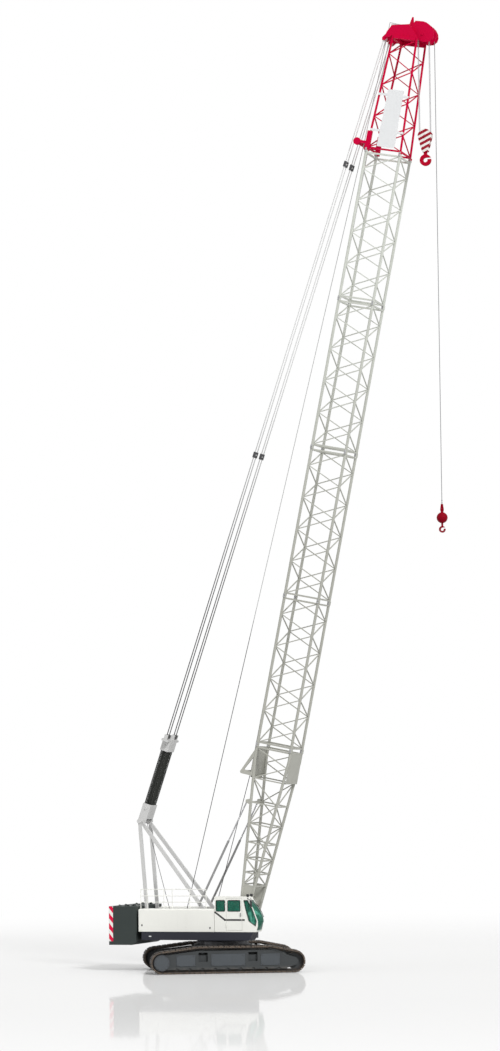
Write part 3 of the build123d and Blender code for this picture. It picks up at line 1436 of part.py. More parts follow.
# Falls and hooks, plumb below the head as the boom stands
MAIN_WORLD = on_boom(*MAIN_SHAFT)
NOSE_WORLD = on_boom(*NOSE_SHAFT)
MAIN_Y = sum(MAIN_SHEAVE_Y) / 2
BLOCK_TOP = MAIN_WORLD[1] - BLOCK_DROP
BLOCK_LOW = BLOCK_TOP - BLOCK_HEIGHT
HOOK_EYE_Z = BLOCK_LOW - HOOK_DROP
SOCKET_TOP = NOSE_WORLD[1] - SOCKET_DROP
BALL_Z = SOCKET_TOP - BALL_DROP
SMALL_HOOK_Z = BALL_Z - SMALL_HOOK_DROP
BLOCK_SHAFT_Z = BLOCK_TOP - 210
BLOCK_SHEAVE = SHEAVE_RADIUS - 8 - ROPE_REACH - 2 * SEAT
with BuildPart() as main_falls:
    for x in (-1, 1):
        for y in MAIN_SHEAVE_Y:
            x_rope = MAIN_WORLD[0] + x * (SHEAVE_RADIUS - 8)
            rod((x_rope, y, BLOCK_SHAFT_Z), (x_rope, y, MAIN_WORLD[1]), ROPE, 6)
save(main_falls, "main_falls")

with BuildPart() as single_fall:
    x_rope = NOSE_WORLD[0] + SHEAVE_RADIUS - 8
    rod((x_rope, SINGLE_SHEAVE_Y, SOCKET_TOP), (x_rope, SINGLE_SHEAVE_Y, NOSE_WORLD[1]), ROPE, 6)
save(single_fall, "single_fall")


def hook(x, z, outer, inner, thickness, y):
    """A hook with its mouth open to the front, its shank above."""
    with BuildSketch(Plane.XZ.offset(-y)) as shape:
        with Locations((x, z)):
            Circle(outer)
            Circle(inner, mode=Mode.SUBTRACT)
        mouth = inner * 0.75
        with Locations((x + outer, z + mouth * 0.9)):
            Rectangle(2 * outer, mouth, mode=Mode.SUBTRACT)
        with Locations((x, z + outer + inner / 2)):
            Rectangle((outer - inner) * 0.9, outer)
    extrude(shape.sketch, amount=thickness / 2, both=True)


with BuildPart() as hook_block:
    x = MAIN_WORLD[0]
    half = BLOCK_THICKNESS / 2
    shoulder = BLOCK_TOP - BLOCK_WIDTH / 2
    for y_face in (MAIN_Y - half, MAIN_Y + half - BLOCK_PLATE):
        with BuildSketch(Plane.XZ.offset(-y_face)) as cheek:
            with BuildLine():
                ThreePointArc(
                    (x - BLOCK_WIDTH / 2, shoulder),
                    (x, BLOCK_TOP),
                    (x + BLOCK_WIDTH / 2, shoulder),
                )
                Polyline(
                    (x + BLOCK_WIDTH / 2, shoulder),
                    (x + BLOCK_FOOT / 2, BLOCK_LOW),
                    (x - BLOCK_FOOT / 2, BLOCK_LOW),
                    (x - BLOCK_WIDTH / 2, shoulder),
                )
            make_face()
        extrude(cheek.sketch, amount=-BLOCK_PLATE)
    foot = rectangle(x - BLOCK_FOOT / 2, x + BLOCK_FOOT / 2, BLOCK_LOW, BLOCK_LOW + 110)
    plate(foot, MAIN_Y - half, MAIN_Y + half)
    pin(x, BLOCK_SHAFT_Z, 30, MAIN_Y - half - 8, MAIN_Y + half + 8)
    for y in MAIN_SHEAVE_Y:
        pin(x, BLOCK_SHAFT_Z, BLOCK_SHEAVE, y - 14, y + 14)
    pin(x, BLOCK_SHAFT_Z, BLOCK_SHEAVE - 20, MAIN_Y - half + 10, MAIN_Y + half - 10)
save(hook_block, "hook_block")

with BuildPart() as main_hook:
    hook(MAIN_WORLD[0], HOOK_EYE_Z, HOOK_OUTER, HOOK_INNER, HOOK_THICKNESS, MAIN_Y)
    top = BLOCK_LOW - SEAT
    split(bisect_by=Plane.XY.offset(top), keep=Keep.BOTTOM)
save(main_hook, "main_hook")

with BuildPart() as ball_hook:
    x = NOSE_WORLD[0] + SHEAVE_RADIUS - 8
    turns = [radians(180 * k / BALL_RINGS) for k in range(BALL_RINGS + 1)]
    with BuildSketch(Plane(origin=(x, SINGLE_SHEAVE_Y, 0), x_dir=(1, 0, 0), z_dir=(0, -1, 0))):
        with BuildLine():
            Polyline(
                *[(BALL_RADIUS * sin(t), BALL_Z + BALL_RADIUS * cos(t)) for t in turns],
                close=True,
            )
        make_face()
    revolve(axis=Axis((x, SINGLE_SHEAVE_Y, 0), (0, 0, 1)))
    plate(
        (
            (x - 24, SOCKET_TOP - SEAT),
            (x + 24, SOCKET_TOP - SEAT),
            (x + 46, SOCKET_TOP - 150),
            (x + 30, BALL_Z + BALL_RADIUS - 10),
            (x - 30, BALL_Z + BALL_RADIUS - 10),
            (x - 46, SOCKET_TOP - 150),
        ),
        SINGLE_SHEAVE_Y - 22,
        SINGLE_SHEAVE_Y + 22,
    )
    hook(x, SMALL_HOOK_Z, SMALL_HOOK_OUTER, SMALL_HOOK_INNER, SMALL_HOOK_THICKNESS, SINGLE_SHEAVE_Y)
    rod((x, SINGLE_SHEAVE_Y, SMALL_HOOK_Z + SMALL_HOOK_OUTER - 10), (x, SINGLE_SHEAVE_Y, BALL_Z), 50)
save(ball_hook, "ball_hook")

# Handrails along the right house's roof
with BuildPart() as handrails:
    y = -UPPER_HALF_WIDTH + RAIL_INSET
    for z in RAIL_HEIGHTS:
        rod((RAIL_POSTS[0], y, HOUSE_TOP + z), (RAIL_POSTS[-1], y, HOUSE_TOP + z), RAIL, 6)
    for x in RAIL_POSTS:
        rod((x, y, HOUSE_TOP + SEAT), (x, y, HOUSE_TOP + RAIL_HEIGHTS[-1]), RAIL, 6)
save(handrails, "handrails")
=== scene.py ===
# %% [markdown]
# This lesson dresses a crawler crane. The solid model comes in already built,
# with every piece on the body that moves it. Here it gets its paint, wear,
# glass, ropes and small fittings, then a floor, lights and a camera.

# %% Load the solid model
import math

import bpy
from mathutils import Matrix, Vector


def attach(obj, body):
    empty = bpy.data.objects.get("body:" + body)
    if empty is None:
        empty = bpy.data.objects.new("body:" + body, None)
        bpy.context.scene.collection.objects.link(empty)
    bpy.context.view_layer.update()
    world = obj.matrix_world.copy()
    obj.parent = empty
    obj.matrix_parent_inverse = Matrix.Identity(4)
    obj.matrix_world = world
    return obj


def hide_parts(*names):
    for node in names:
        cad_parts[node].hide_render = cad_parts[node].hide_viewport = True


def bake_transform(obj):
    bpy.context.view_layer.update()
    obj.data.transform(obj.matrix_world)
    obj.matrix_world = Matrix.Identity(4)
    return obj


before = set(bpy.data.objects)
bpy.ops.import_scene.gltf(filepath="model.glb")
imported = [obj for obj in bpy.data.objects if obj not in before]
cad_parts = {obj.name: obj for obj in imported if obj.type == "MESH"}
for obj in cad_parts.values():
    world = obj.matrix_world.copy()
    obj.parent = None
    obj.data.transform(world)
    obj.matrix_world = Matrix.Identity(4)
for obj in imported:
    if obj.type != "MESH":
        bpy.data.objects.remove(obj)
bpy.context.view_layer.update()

# %% [markdown]
# The camera comes first, because it decides how large each detail shows. The
# crane was seen from about 85 metres away and from near the ground, so a long
# lens is used. The camera looks up a little and leans by 0.6 of a degree.

# %% Camera
CAMERA_PLACE = (28.44, -79.73, 4.815)
HEADING, PITCH, ROLL = math.radians(19.051), math.radians(4.83), math.radians(0.62)
FOCAL_PIXELS = 3127
LONG_SIDE = 1051
FILM_WIDTH = 36
FARTHEST = 2000

ahead = Vector((-math.sin(HEADING) * math.cos(PITCH), math.cos(HEADING) * math.cos(PITCH), math.sin(PITCH)))
across = Vector((math.cos(HEADING), math.sin(HEADING), 0))
upward = across.cross(ahead)
right = across * math.cos(ROLL) - upward * math.sin(ROLL)
top = across * math.sin(ROLL) + upward * math.cos(ROLL)

bpy.ops.object.camera_add()
camera = bpy.context.object
camera.name = "camera"
camera.matrix_world = Matrix(
    (
        (right.x, top.x, -ahead.x, CAMERA_PLACE[0]),
        (right.y, top.y, -ahead.y, CAMERA_PLACE[1]),
        (right.z, top.z, -ahead.z, CAMERA_PLACE[2]),
        (0, 0, 0, 1),
    )
)
camera.data.sensor_width = FILM_WIDTH
camera.data.lens = FOCAL_PIXELS / LONG_SIDE * FILM_WIDTH
camera.data.clip_end = FARTHEST
bpy.context.scene.camera = camera
print("lens:", round(camera.data.lens, 1), "mm")

# %% [markdown]
# Shader maths reads best as plain arithmetic. This small class wraps a node's
# output, so that adding, multiplying or comparing two of them adds the right
# Math node. A finish is one material, and every other node comes from its one
# node method, which takes the node's settings first and then its inputs.


# %% Arithmetic on shader sockets
class Value:
    """A node's output that Python can do sums with."""

    def __init__(self, finish, socket):
        self.finish, self.socket = finish, socket

    def math(self, operation, *others):
        return self.finish.node("ShaderNodeMath", {"operation": operation}, (self, *others))

    def __add__(self, other):
        return self.math("ADD", other)

    def __sub__(self, other):
        return self.math("SUBTRACT", other)

    def __mul__(self, other):
        return self.math("MULTIPLY", other)

    def __truediv__(self, other):
        return self.math("DIVIDE", other)

    def __rsub__(self, other):
        return self.finish.node("ShaderNodeMath", {"operation": "SUBTRACT"}, (other, self))

    def __gt__(self, other):
        return self.math("GREATER_THAN", other)

    __radd__, __rmul__ = __add__, __mul__

    def fraction(self):
        return self.math("FRACT")

    def clamped(self):
        return self.finish.node("ShaderNodeClamp", {}, (self, 0.0, 1.0))

    def fade(self, low, high):
        """0 at low and below, 1 at high and above, smooth between them."""
        settings = {"interpolation_type": "SMOOTHSTEP"}
        return self.finish.node("ShaderNodeMapRange", settings, (self, low, high, 0.0, 1.0))


NOISE_ROUGHNESS = 0.55


class Finish:
    """One material, with its nodes made by node() and joined to the shader."""

    def __init__(self, name, **constants):
        self.material = bpy.data.materials.new(name)
        self.material.use_nodes = True
        self.tree = self.material.node_tree
        self.shader = self.tree.nodes["Principled BSDF"]
        for socket, value in constants.items():
            self.shader.inputs[socket.replace("_", " ")].default_value = value

    def node(self, kind, settings, inputs=(), output=0):
        made = self.tree.nodes.new(kind)
        for key, value in settings.items():
            setattr(made, key, value)
        pairs = inputs.items() if isinstance(inputs, dict) else enumerate(inputs)
        for key, value in pairs:
            self.join(made.inputs[key], value)
        return Value(self, made.outputs[output])

    def join(self, socket, value):
        if isinstance(value, Value):
            self.tree.links.new(value.socket, socket)
        elif socket.type == "RGBA" and len(value) == 3:
            socket.default_value = (*value, 1)
        else:
            socket.default_value = value

    def place(self, turn=0.0, stretch=(1, 1, 1)):
        """Where a point lies on the crane, in metres."""
        spot = self.node("ShaderNodeTexCoord", {}, output="Object")
        if turn or stretch != (1, 1, 1):
            inputs = {"Vector": spot, "Rotation": (0, 0, turn), "Scale": stretch}
            spot = self.node("ShaderNodeMapping", {}, inputs)
        return spot

    def axes(self, spot):
        """The X, Y and Z of a place as three values."""
        return [self.node("ShaderNodeSeparateXYZ", {}, (spot,), k) for k in range(3)]

    def noise(self, scale, detail=3.0, spot=None):
        inputs = {"Vector": spot or self.place(), "Scale": scale, "Detail": detail}
        return self.node("ShaderNodeTexNoise", {}, {**inputs, "Roughness": NOISE_ROUGHNESS})

    def mix(self, share, first, second):
        settings = {"data_type": "RGBA"}
        return self.node("ShaderNodeMix", settings, {0: share, 6: first, 7: second}, 2)

    def colour(self, value):
        self.join(self.shader.inputs["Base Color"], value)

    def roughness(self, value):
        self.join(self.shader.inputs["Roughness"], value)

    def metallic(self, value):
        self.join(self.shader.inputs["Metallic"], value)

    def bump(self, height, distance, strength=1.0):
        settings, inputs = {}, {"Strength": strength, "Distance": distance, "Height": height}
        self.join(self.shader.inputs["Normal"], self.node("ShaderNodeBump", settings, inputs))


# %% [markdown]
# Crane paint is thick and glossy when new. Weather dulls it in patches, rain
# draws faint streaks down it, and dust settles low down. One recipe makes each
# painted colour: noise for the patches, noise stretched in Z for the streaks, a
# fade with height for the dust, and a fine bump for the orange peel. The boom's
# grey also pales towards its top, which is painted light.


# %% Painted finishes
DUST = (0.33, 0.29, 0.24)
WORN_SHADE, CHALK = 0.74, 0.005
# heights between which the boom's grey is painted paler, as painted light
PALE_FROM, PALE_BY = 9.0, 21.0
LONG_STREAKS = (1, 1, 0.12)


def painted(name, colour, dirt=0.25, gloss=0.38, dust_top=0.0, coat=0.1, shine=0.3, lit_top_colour=None):
    """Paint that is dirtied and dulled, dusty below dust_top, and painted lighter aloft towards
    lit_top_colour.
    """
    paint = Finish(name, Coat_Weight=coat, Coat_Roughness=0.18, Specular_IOR_Level=shine)
    patches = paint.noise(1.7, 4.0).fade(0.35, 0.75)
    streaks = paint.noise(9.0, 3.0, paint.place(stretch=LONG_STREAKS)).fade(0.52, 0.78)
    grime = (patches * 0.55 + streaks * 0.6) * dirt
    worn = tuple(c * WORN_SHADE + CHALK for c in colour)
    # painted light: the colour pales with height towards the lit top colour
    if lit_top_colour:
        colour = paint.mix(paint.axes(paint.place())[2].fade(PALE_FROM, PALE_BY), colour, lit_top_colour)
    shade = paint.mix(grime.clamped(), colour, worn)
    if dust_top:
        height = paint.axes(paint.place())[2]
        low = (1 - height.fade(dust_top * 0.2, dust_top)) * paint.noise(6.0).fade(0.25, 0.7)
        shade = paint.mix(low * 0.3, shade, DUST)
    paint.colour(shade)
    paint.roughness(patches * 0.16 + streaks * 0.08 + gloss)
    paint.bump(paint.noise(140.0, 2.0), 0.0008, 0.25)
    return paint.material


white_paint = painted("white_paint", (0.81, 0.81, 0.765), 0.16, 0.34, coat=0.25)
# the boom's grey is painted paler towards its top, as painted light
boom_grey = painted("boom_grey", (0.39, 0.39, 0.35), 0.35, 0.46, lit_top_colour=(0.60, 0.62, 0.57))
crimson = painted("crimson_paint", (0.56, 0.0003, 0.042), 0.16, 0.46, coat=0.0, shine=0.05)
gantry_grey = painted("gantry_grey", (0.55, 0.55, 0.545), 0.32, 0.42)
navy_paint = painted("navy_paint", (0.024, 0.025, 0.036), 0.2, 0.44, shine=0.2)
weight_grey = painted("weight_grey", (0.034, 0.043, 0.041), 0.25, 0.55, shine=0.2)
# the frame's grey is darker than panel_grey partly in its own right and partly as painted shade in the
# recesses round the raised cover panels and under the crane
frame_grey = painted("frame_grey", (0.046, 0.050, 0.052), 0.3, 0.55, 0.2, shine=0.2)
panel_grey = painted("panel_grey", (0.064, 0.072, 0.080), 0.3, 0.5, shine=0.25)
winch_grey = painted("winch_grey", (0.10, 0.11, 0.12), 0.4, 0.45)
sign_white = painted("sign_white", (0.74, 0.75, 0.76), 0.2, 0.45)
hook_red = painted("hook_red", (0.44, 0.0003, 0.020), 0.15, 0.42, coat=0.0, shine=0.06)
ball_red = painted("ball_red", (0.24, 0.0003, 0.010), 0.15, 0.42, coat=0.0, shine=0.06)
stay_grey = painted("stay_grey", (0.27, 0.27, 0.27), 0.3, 0.45)
print("finishes so far:", len(bpy.data.materials))

# %% [markdown]
# Bare metal parts differ in colour and polish: greased black steel on the slew
# ring and sheaves, dull grey pins, and the track shoes, which are dark with a
# little rust in their hollows and rub tan at both ends. The shoes' pattern
# turns with the undercarriage, which stands at 25 degrees.


# %% Metal finishes
STAINED_SHARE, STAIN_SHADE, STAIN_CHALK = 0.5, 0.45, 0.01


def metal(name, colour, rough, shine=0.8):
    """Bare metal with stains that are darker, rougher and less metallic."""
    steel = Finish(name)
    stains = steel.noise(11.0, 5.0).fade(0.35, 0.7)
    stained = tuple(c * STAIN_SHADE + STAIN_CHALK for c in colour)
    steel.colour(steel.mix(stains * STAINED_SHARE, colour, stained))
    steel.roughness(stains * 0.2 + rough)
    steel.metallic(shine - stains * 0.3)
    steel.bump(steel.noise(60.0, 3.0), 0.001, 0.3)
    return steel.material


dark_steel = metal("dark_steel", (0.085, 0.085, 0.09), 0.42)
dull_steel = metal("dull_steel", (0.46, 0.46, 0.47), 0.34)
black_steel = metal("black_steel", (0.03, 0.03, 0.032), 0.5, 0.4)

TURN = math.radians(25)
TRACK_MIDDLE, RUB_FROM, RUB_BY = 1.35, 0.225, 0.25
shoe = Finish("track_shoe")
spot = shoe.place(turn=-TURN)
sideways = shoe.axes(spot)[1]
edge = (sideways.math("ABSOLUTE") - TRACK_MIDDLE).math("ABSOLUTE").fade(RUB_FROM, RUB_BY)
rust = shoe.noise(14.0, 5.0).fade(0.4, 0.72)
tread = shoe.mix(rust * 0.8, (0.032, 0.030, 0.028), (0.075, 0.052, 0.036))
rubbed = edge * shoe.noise(23.0, 3.0).fade(0.3, 0.62)
shoe.colour(shoe.mix(rubbed * 0.6, tread, (0.17, 0.13, 0.10)))
shoe.roughness(rust * 0.2 + 0.55 - rubbed * 0.1)
shoe.metallic(0.35 + rubbed * 0.3)
shoe.bump(shoe.noise(45.0, 4.0) + rust * 0.5, 0.003, 0.5)
track_shoe = shoe.material

# %% [markdown]
# Wire rope is strands laid in a spiral. A wave texture that leans across the
# rope's length gives the lay at a far smaller cost than modelled wires. The
# cab's glass is tinted green, with paler streaks and smears that are more solid.


# %% Rope, glass, rubber and vinyl
def wire(name, colour, upper=None, heights=(7.6, 8.6), shine=0.35):
    """Rope laid in strands, which turns to the upper colour between the two heights, as painted light."""
    rope = Finish(name)
    lay = rope.node(
        "ShaderNodeTexWave",
        {"bands_direction": "DIAGONAL"},
        {"Vector": rope.place(), "Scale": 18.0, "Distortion": 0.6},
        "Fac",
    )
    shade = colour
    # painted light: the rope turns paler with height, towards the upper colour
    if upper:
        shade = rope.mix(rope.axes(rope.place())[2].fade(*heights), colour, upper)
    rope.colour(rope.mix(lay * 0.35, shade, tuple(c * 0.5 for c in colour)))
    rope.roughness(lay * 0.15 + 0.5)
    rope.metallic(lay * 0.2 + shine - 0.1)
    rope.bump(lay, 0.002, 0.6)
    return rope.material


reeving_wire = wire("reeving_wire", (0.016, 0.018, 0.014), shine=0.1)
rope_dark = wire("rope_dark", (0.10, 0.10, 0.105))
# the hoist ropes are dark low down and painted paler above about 9 metres, as painted light
hoist_wire = wire("hoist_wire", (0.030, 0.030, 0.032), (0.50, 0.50, 0.50), (8.6, 9.8), 0.15)
fall_wire = wire("fall_wire", (0.42, 0.42, 0.43), shine=0.15)
line_wire = wire("line_wire", (0.24, 0.24, 0.25), shine=0.15)
# the pendants are dark low down and painted pale aloft, as painted light
pendant_steel = wire("pendant_steel", (0.06, 0.06, 0.06), (0.80, 0.80, 0.80), (9.0, 17.0), 0.12)

glass = Finish("green_glass", Roughness=0.06, IOR=1.5)
smear = glass.noise(5.0, 3.0).fade(0.4, 0.8)
streak = glass.noise(4.5, 2.0, glass.place(stretch=(1, 1, 0.4))).fade(0.54, 0.62)
tint = glass.mix(smear * 0.4, (0.001, 0.115, 0.07), (0.01, 0.22, 0.15))
glass.colour(glass.mix(streak * 0.6, tint, (0.12, 0.50, 0.36)))
glass.join(glass.shader.inputs["Alpha"], streak * 0.15 + smear * 0.08 + 0.72)
green_glass = glass.material

rubber = Finish("black_rubber")
rubber.colour(rubber.mix(rubber.noise(30.0), (0.012, 0.012, 0.013), (0.03, 0.03, 0.03)))
rubber.roughness(rubber.noise(20.0) * 0.2 + 0.55)
black_rubber = rubber.material

vinyl = Finish("black_vinyl", Sheen_Weight=0.2)
grain = vinyl.node("ShaderNodeTexVoronoi", {}, {"Vector": vinyl.place(), "Scale": 260.0})
vinyl.colour(vinyl.mix(vinyl.noise(12.0), (0.02, 0.02, 0.022), (0.045, 0.043, 0.042)))
vinyl.roughness(grain * 0.2 + 0.45)
vinyl.bump(grain, 0.0006, 0.5)
black_vinyl = vinyl.material

# %% [markdown]
# Warning stripes are painted, so they belong in a material. Adding a share of a
# point's place along the piece to its height makes lines that lean, and the
# fraction of that sum says whether the point is in a red or a white stripe.


# %% Warning stripes
WHITE_SHARE = 0.46


def striped(name, width, lean, paint):
    """A red and a white stripe every width, falling by lean for each metre of X."""
    stripe = Finish(name, Coat_Weight=0.05, Specular_IOR_Level=0.15)
    axes = stripe.axes(stripe.place())
    red = ((axes[0] * lean + axes[2]) / width).fraction() > WHITE_SHARE
    dirt = stripe.noise(9.0, 4.0).fade(0.4, 0.8)
    shade = stripe.mix(red, (0.80, 0.79, 0.76), paint)
    stripe.colour(stripe.mix(dirt * 0.07, shade, (0.30, 0.25, 0.22)))
    stripe.roughness(dirt * 0.2 + 0.4)
    return stripe.material


block_stripes = striped("block_stripes", 0.15, -0.45, (0.30, 0.0003, 0.016))
weight_stripes = striped("weight_stripes", 0.27, 1.2, (0.66, 0.001, 0.05))

# %% [markdown]
# Every solid piece now gets one finish. The table reads from finish to pieces,
# so a colour that many pieces share is written once, and the last line names
# any piece that was forgotten.

# %% Finishes on the solid pieces
NODE_FINISH = {
    track_shoe: ("track_left", "track_right"),
    # the frames, carbody, rollers and idlers are darkened partly as painted shade
    frame_grey: (
        "track_frame_left", "track_frame_right", "carbody",
        "track_rollers_left", "track_rollers_right", "idler_left", "idler_right",
    ),
    panel_grey: ("drive_wheel_left", "drive_wheel_right"),
    dark_steel: ("slew_ring", "lower_spreader_sheaves", "upper_spreader_sheaves", "engine_block"),
    navy_paint: ("deck",),
    dull_steel: ("boom_foot_pins", "backstop_rods"),
    white_paint: ("house_left", "house_right", "cab_shell", "cab_door", "handrails"),
    weight_grey: ("counterweight_tray", "counterweight_slabs"),
    green_glass: ("cab_windscreen", "cab_side_windows", "cab_door_window"),
    black_vinyl: ("operator_seat",),
    black_rubber: ("cab_consoles",),
    winch_grey: ("winch_drums", "winch_frames"),
    gantry_grey: (
        "gantry_rear_legs", "gantry_front_legs", "gantry_head", "lower_spreader",
        "upper_spreader",
    ),
    stay_grey: ("backstop_tubes",),
    boom_grey: (
        "boom_butt", "boom_insert_1", "boom_insert_2", "boom_insert_3", "boom_insert_4",
        "guide_roller",
    ),
    crimson: ("boom_tip", "boom_head", "head_sheaves", "rope_rollers"),
    sign_white: ("sign_panel",),
    pendant_steel: ("pendant_left", "pendant_right"),
    fall_wire: ("main_falls", "single_fall"),
    reeving_wire: ("boom_hoist_reeving",),
    hoist_wire: ("boom_ropes", "hoist_ropes"),
    block_stripes: ("hook_block",),
    hook_red: ("main_hook",),
    ball_red: ("ball_hook",),
}
for finish, names in NODE_FINISH.items():
    for name in names:
        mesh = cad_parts[name].data
        mesh.materials.clear()
        mesh.materials.append(finish)
painted_nodes = {name for names in NODE_FINISH.values() for name in names}
print("nodes without a finish:", sorted(set(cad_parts) - painted_nodes))

# %% [markdown]
# The fittings begin as a block, a round bar, a flat outline or a ring section.
# Each helper adds the primitive at its size and place and shapes it in edit
# mode: edges are bevelled, an outline's middle is inset and taken out to make a
# frame, and a ring section is spun round an axle to make a turn of rope. What
# repeats is copied, each copy with its own mesh, and joined into one piece.


# %% Starting shapes
def alone():
    bpy.ops.object.select_all(action="DESELECT")


def settled(bevel, caps_only=False):
    """Puts a primitive's place in its mesh and bevels all edges, or its end caps' only."""
    bpy.ops.object.transform_apply(location=True, rotation=True, scale=True)
    bpy.ops.object.mode_set(mode="EDIT")
    bpy.ops.mesh.select_mode(type="FACE")
    bpy.ops.mesh.select_all(action="DESELECT" if caps_only else "SELECT")
    if caps_only:
        bpy.ops.mesh.select_face_by_sides(number=4, type="GREATER")
    bpy.ops.mesh.bevel(offset=bevel, segments=1, affect="EDGES")
    bpy.ops.object.mode_set(mode="OBJECT")
    return bpy.context.object


def block(low, high, bevel=0.003, turn=(0, 0, 0)):
    """A block between two corners, turned about its own middle."""
    alone()
    low, high = Vector(low), Vector(high)
    bpy.ops.mesh.primitive_cube_add(size=1, location=(low + high) / 2, rotation=turn)
    bpy.context.object.scale = high - low
    return settled(bevel)


def bar(start, end, radius, sides=10, bevel=0.002):
    """A round bar between two points, with its ends' rims bevelled."""
    alone()
    start, end = Vector(start), Vector(end)
    turn = (end - start).to_track_quat("Z", "Y").to_euler()
    size = {"vertices": sides, "radius": radius, "depth": (end - start).length}
    bpy.ops.mesh.primitive_cylinder_add(**size, location=(start + end) / 2, rotation=turn)
    return settled(bevel, caps_only=True)


def spun(centre, radius, thickness, start=0, sweep=360, steps=24, sides=6):
    """A ring section spun about an axle along Y, from start degrees past the top."""
    alone()
    begin = math.radians(start)
    spot = Vector(centre) + Vector((math.sin(begin), 0, math.cos(begin))) * radius
    along = Vector((math.cos(begin), 0, -math.sin(begin)))
    turn = along.to_track_quat("Z", "Y").to_euler()
    bpy.ops.mesh.primitive_circle_add(vertices=sides, radius=thickness / 2, location=spot, rotation=turn)
    bpy.ops.object.transform_apply(location=True, rotation=True, scale=True)
    bpy.ops.object.mode_set(mode="EDIT")
    bpy.ops.mesh.select_all(action="SELECT")
    bpy.ops.mesh.spin(steps=steps, angle=math.radians(sweep), center=centre, axis=(0, -1, 0))
    bpy.ops.mesh.select_all(action="SELECT")
    bpy.ops.mesh.remove_doubles(threshold=0.0002)
    if sweep < 360:
        bpy.ops.mesh.fill_holes(sides=0)
    bpy.ops.mesh.normals_make_consistent(inside=False)
    bpy.ops.object.mode_set(mode="OBJECT")
    return bpy.context.object


def seal(points, y, width, depth, rounding):
    """A raised frame just inside an outline of X and Z points, on a wall at y."""
    alone()
    bpy.ops.mesh.primitive_circle_add(vertices=len(points), radius=1, fill_type="NGON")
    for vertex, (x, z) in zip(bpy.context.object.data.vertices, points):
        vertex.co = (x, y, z)
    bpy.ops.object.mode_set(mode="EDIT")
    bpy.ops.mesh.select_all(action="SELECT")
    bpy.ops.mesh.bevel(offset=rounding, segments=3, affect="VERTICES")
    bpy.ops.mesh.select_all(action="SELECT")
    bpy.ops.mesh.inset(thickness=width)
    bpy.ops.mesh.delete(type="FACE")
    bpy.ops.mesh.select_all(action="SELECT")
    bpy.ops.mesh.extrude_region_move(TRANSFORM_OT_translate={"value": (0, math.copysign(depth, y), 0)})
    bpy.ops.mesh.select_all(action="SELECT")
    bpy.ops.mesh.normals_make_consistent(inside=False)
    bpy.ops.object.mode_set(mode="OBJECT")
    return bpy.context.object


def joined(pieces):
    """Makes the pieces one object, which is then the only one selected."""
    alone()
    for piece in pieces:
        piece.select_set(True)
    bpy.context.view_layer.objects.active = pieces[0]
    if len(pieces) > 1:
        bpy.ops.object.join()
    return bpy.context.object


def copies(piece, moves):
    """The piece at each of the moves, as one object."""
    made = []
    for move in moves:
        copy = piece.copy()
        copy.data = piece.data.copy()
        copy.data.transform(move)
        bpy.context.collection.objects.link(copy)
        made.append(copy)
    bpy.data.objects.remove(piece, do_unlink=True)
    return joined(made)


def shift(x, y, z):
    return Matrix.Translation((x, y, z))


def layer(side, inner, outer):
    """Two distances from the crane's middle as Y on one side, the lower one first."""
    return sorted((side * inner, side * outer))


SMOOTH_BELOW = math.radians(40)
fitted = {}


def finished(piece, name, finish, body=None):
    """Names a piece, gives it its finish and the body that carries it."""
    joined([piece])
    piece.name = piece.data.name = name
    piece.data.materials.clear()
    piece.data.materials.append(finish)
    bpy.ops.object.shade_smooth_by_angle(angle=SMOOTH_BELOW)
    if body:
        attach(piece, body)
    fitted[name] = len(piece.data.polygons)
    return piece


FOOT, BOOM_LEAN = (0.745, 0, 1.390), math.radians(11.67)
APEX, STAY_LEAN = (-2.205, 0, 4.0), math.radians(18.99)
BOOM = shift(*FOOT) @ Matrix.Rotation(BOOM_LEAN, 4, "Y")
STAY = shift(*APEX) @ Matrix.Rotation(STAY_LEAN, 4, "Y")
UNDER = Matrix.Rotation(TURN, 4, "Z")

# %% [markdown]
# The ropes run between bodies that move apart, so a rigid rope would tear off
# one of its ends when the boom is lowered. Each is a bar with nothing between
# its two ends, with its place baked into its mesh. The reeving starts just
# above the gantry's shaft and passes the lower sheaves, because the whole line
# pivots there.

# %% Ropes between two bodies
ROPE = 0.0075
LINE = 0.0095  # a rope that runs alone is drawn thicker, so that it shows
SIDES, RIM = 8, 0.001
ROWS = (-0.0893, -0.032, 0.032, 0.0893)
PART_PITCH = 0.044
PARTS = [(k - 4.5) * PART_PITCH for k in range(10)]
line = bar((0, 0, 0.14), (0, 0, 2.13), ROPE, SIDES, RIM)
reeving = copies(line, [STAY @ shift(x, y, 0) for x in ROWS for y in PARTS])
finished(reeving, "reeving_parts", reeving_wire)
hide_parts("boom_hoist_reeving")
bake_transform(reeving)

HOIST = {
    "hoist_line_single": ((-0.286, 0.115, 1.44), (0.8148, 0.115, 5.2929)),
    "hoist_line_main": ((-1.036, -0.06, 1.44), (4.294, -0.06, 22.1276)),
}
for name, (start, end) in HOIST.items():
    line = finished(bar(start, end, LINE, SIDES, RIM), name, hoist_wire)
    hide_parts("hoist_ropes")
    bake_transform(line)

MAIN, NOSE = (6.0393, -0.11, 24.9562), (6.1045, 0.15, 25.0398)
GROOVE = 0.152
MAIN_SHEAVES = (-0.19, -0.11)
falls = copies(
    bar((MAIN[0], 0, 22.1752), (MAIN[0], 0, MAIN[2]), ROPE, SIDES, RIM),
    [shift(x, y, 0) for x in (-GROOVE, GROOVE) for y in MAIN_SHEAVES],
)
finished(falls, "main_fall_lines", fall_wire)
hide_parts("main_falls")
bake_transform(falls)
start, end = (NOSE[0] + GROOVE, 0.15, NOSE[2]), (NOSE[0] + GROOVE, 0.15, 12.325)
line = finished(bar(start, end, LINE, SIDES, RIM), "single_fall_line", line_wire)
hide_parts("single_fall")
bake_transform(line)
print("rope pieces:", len(fitted))

# %% [markdown]
# Rope wound on a drum is turns lying side by side. One turn is a ring section
# spun round the drum's shaft, and it is copied along the drum at the rope's own
# pitch. The same spin over a half turn or less lays the rope over the head
# sheaves, and a straight run leads to them from each rope's end on the boom.

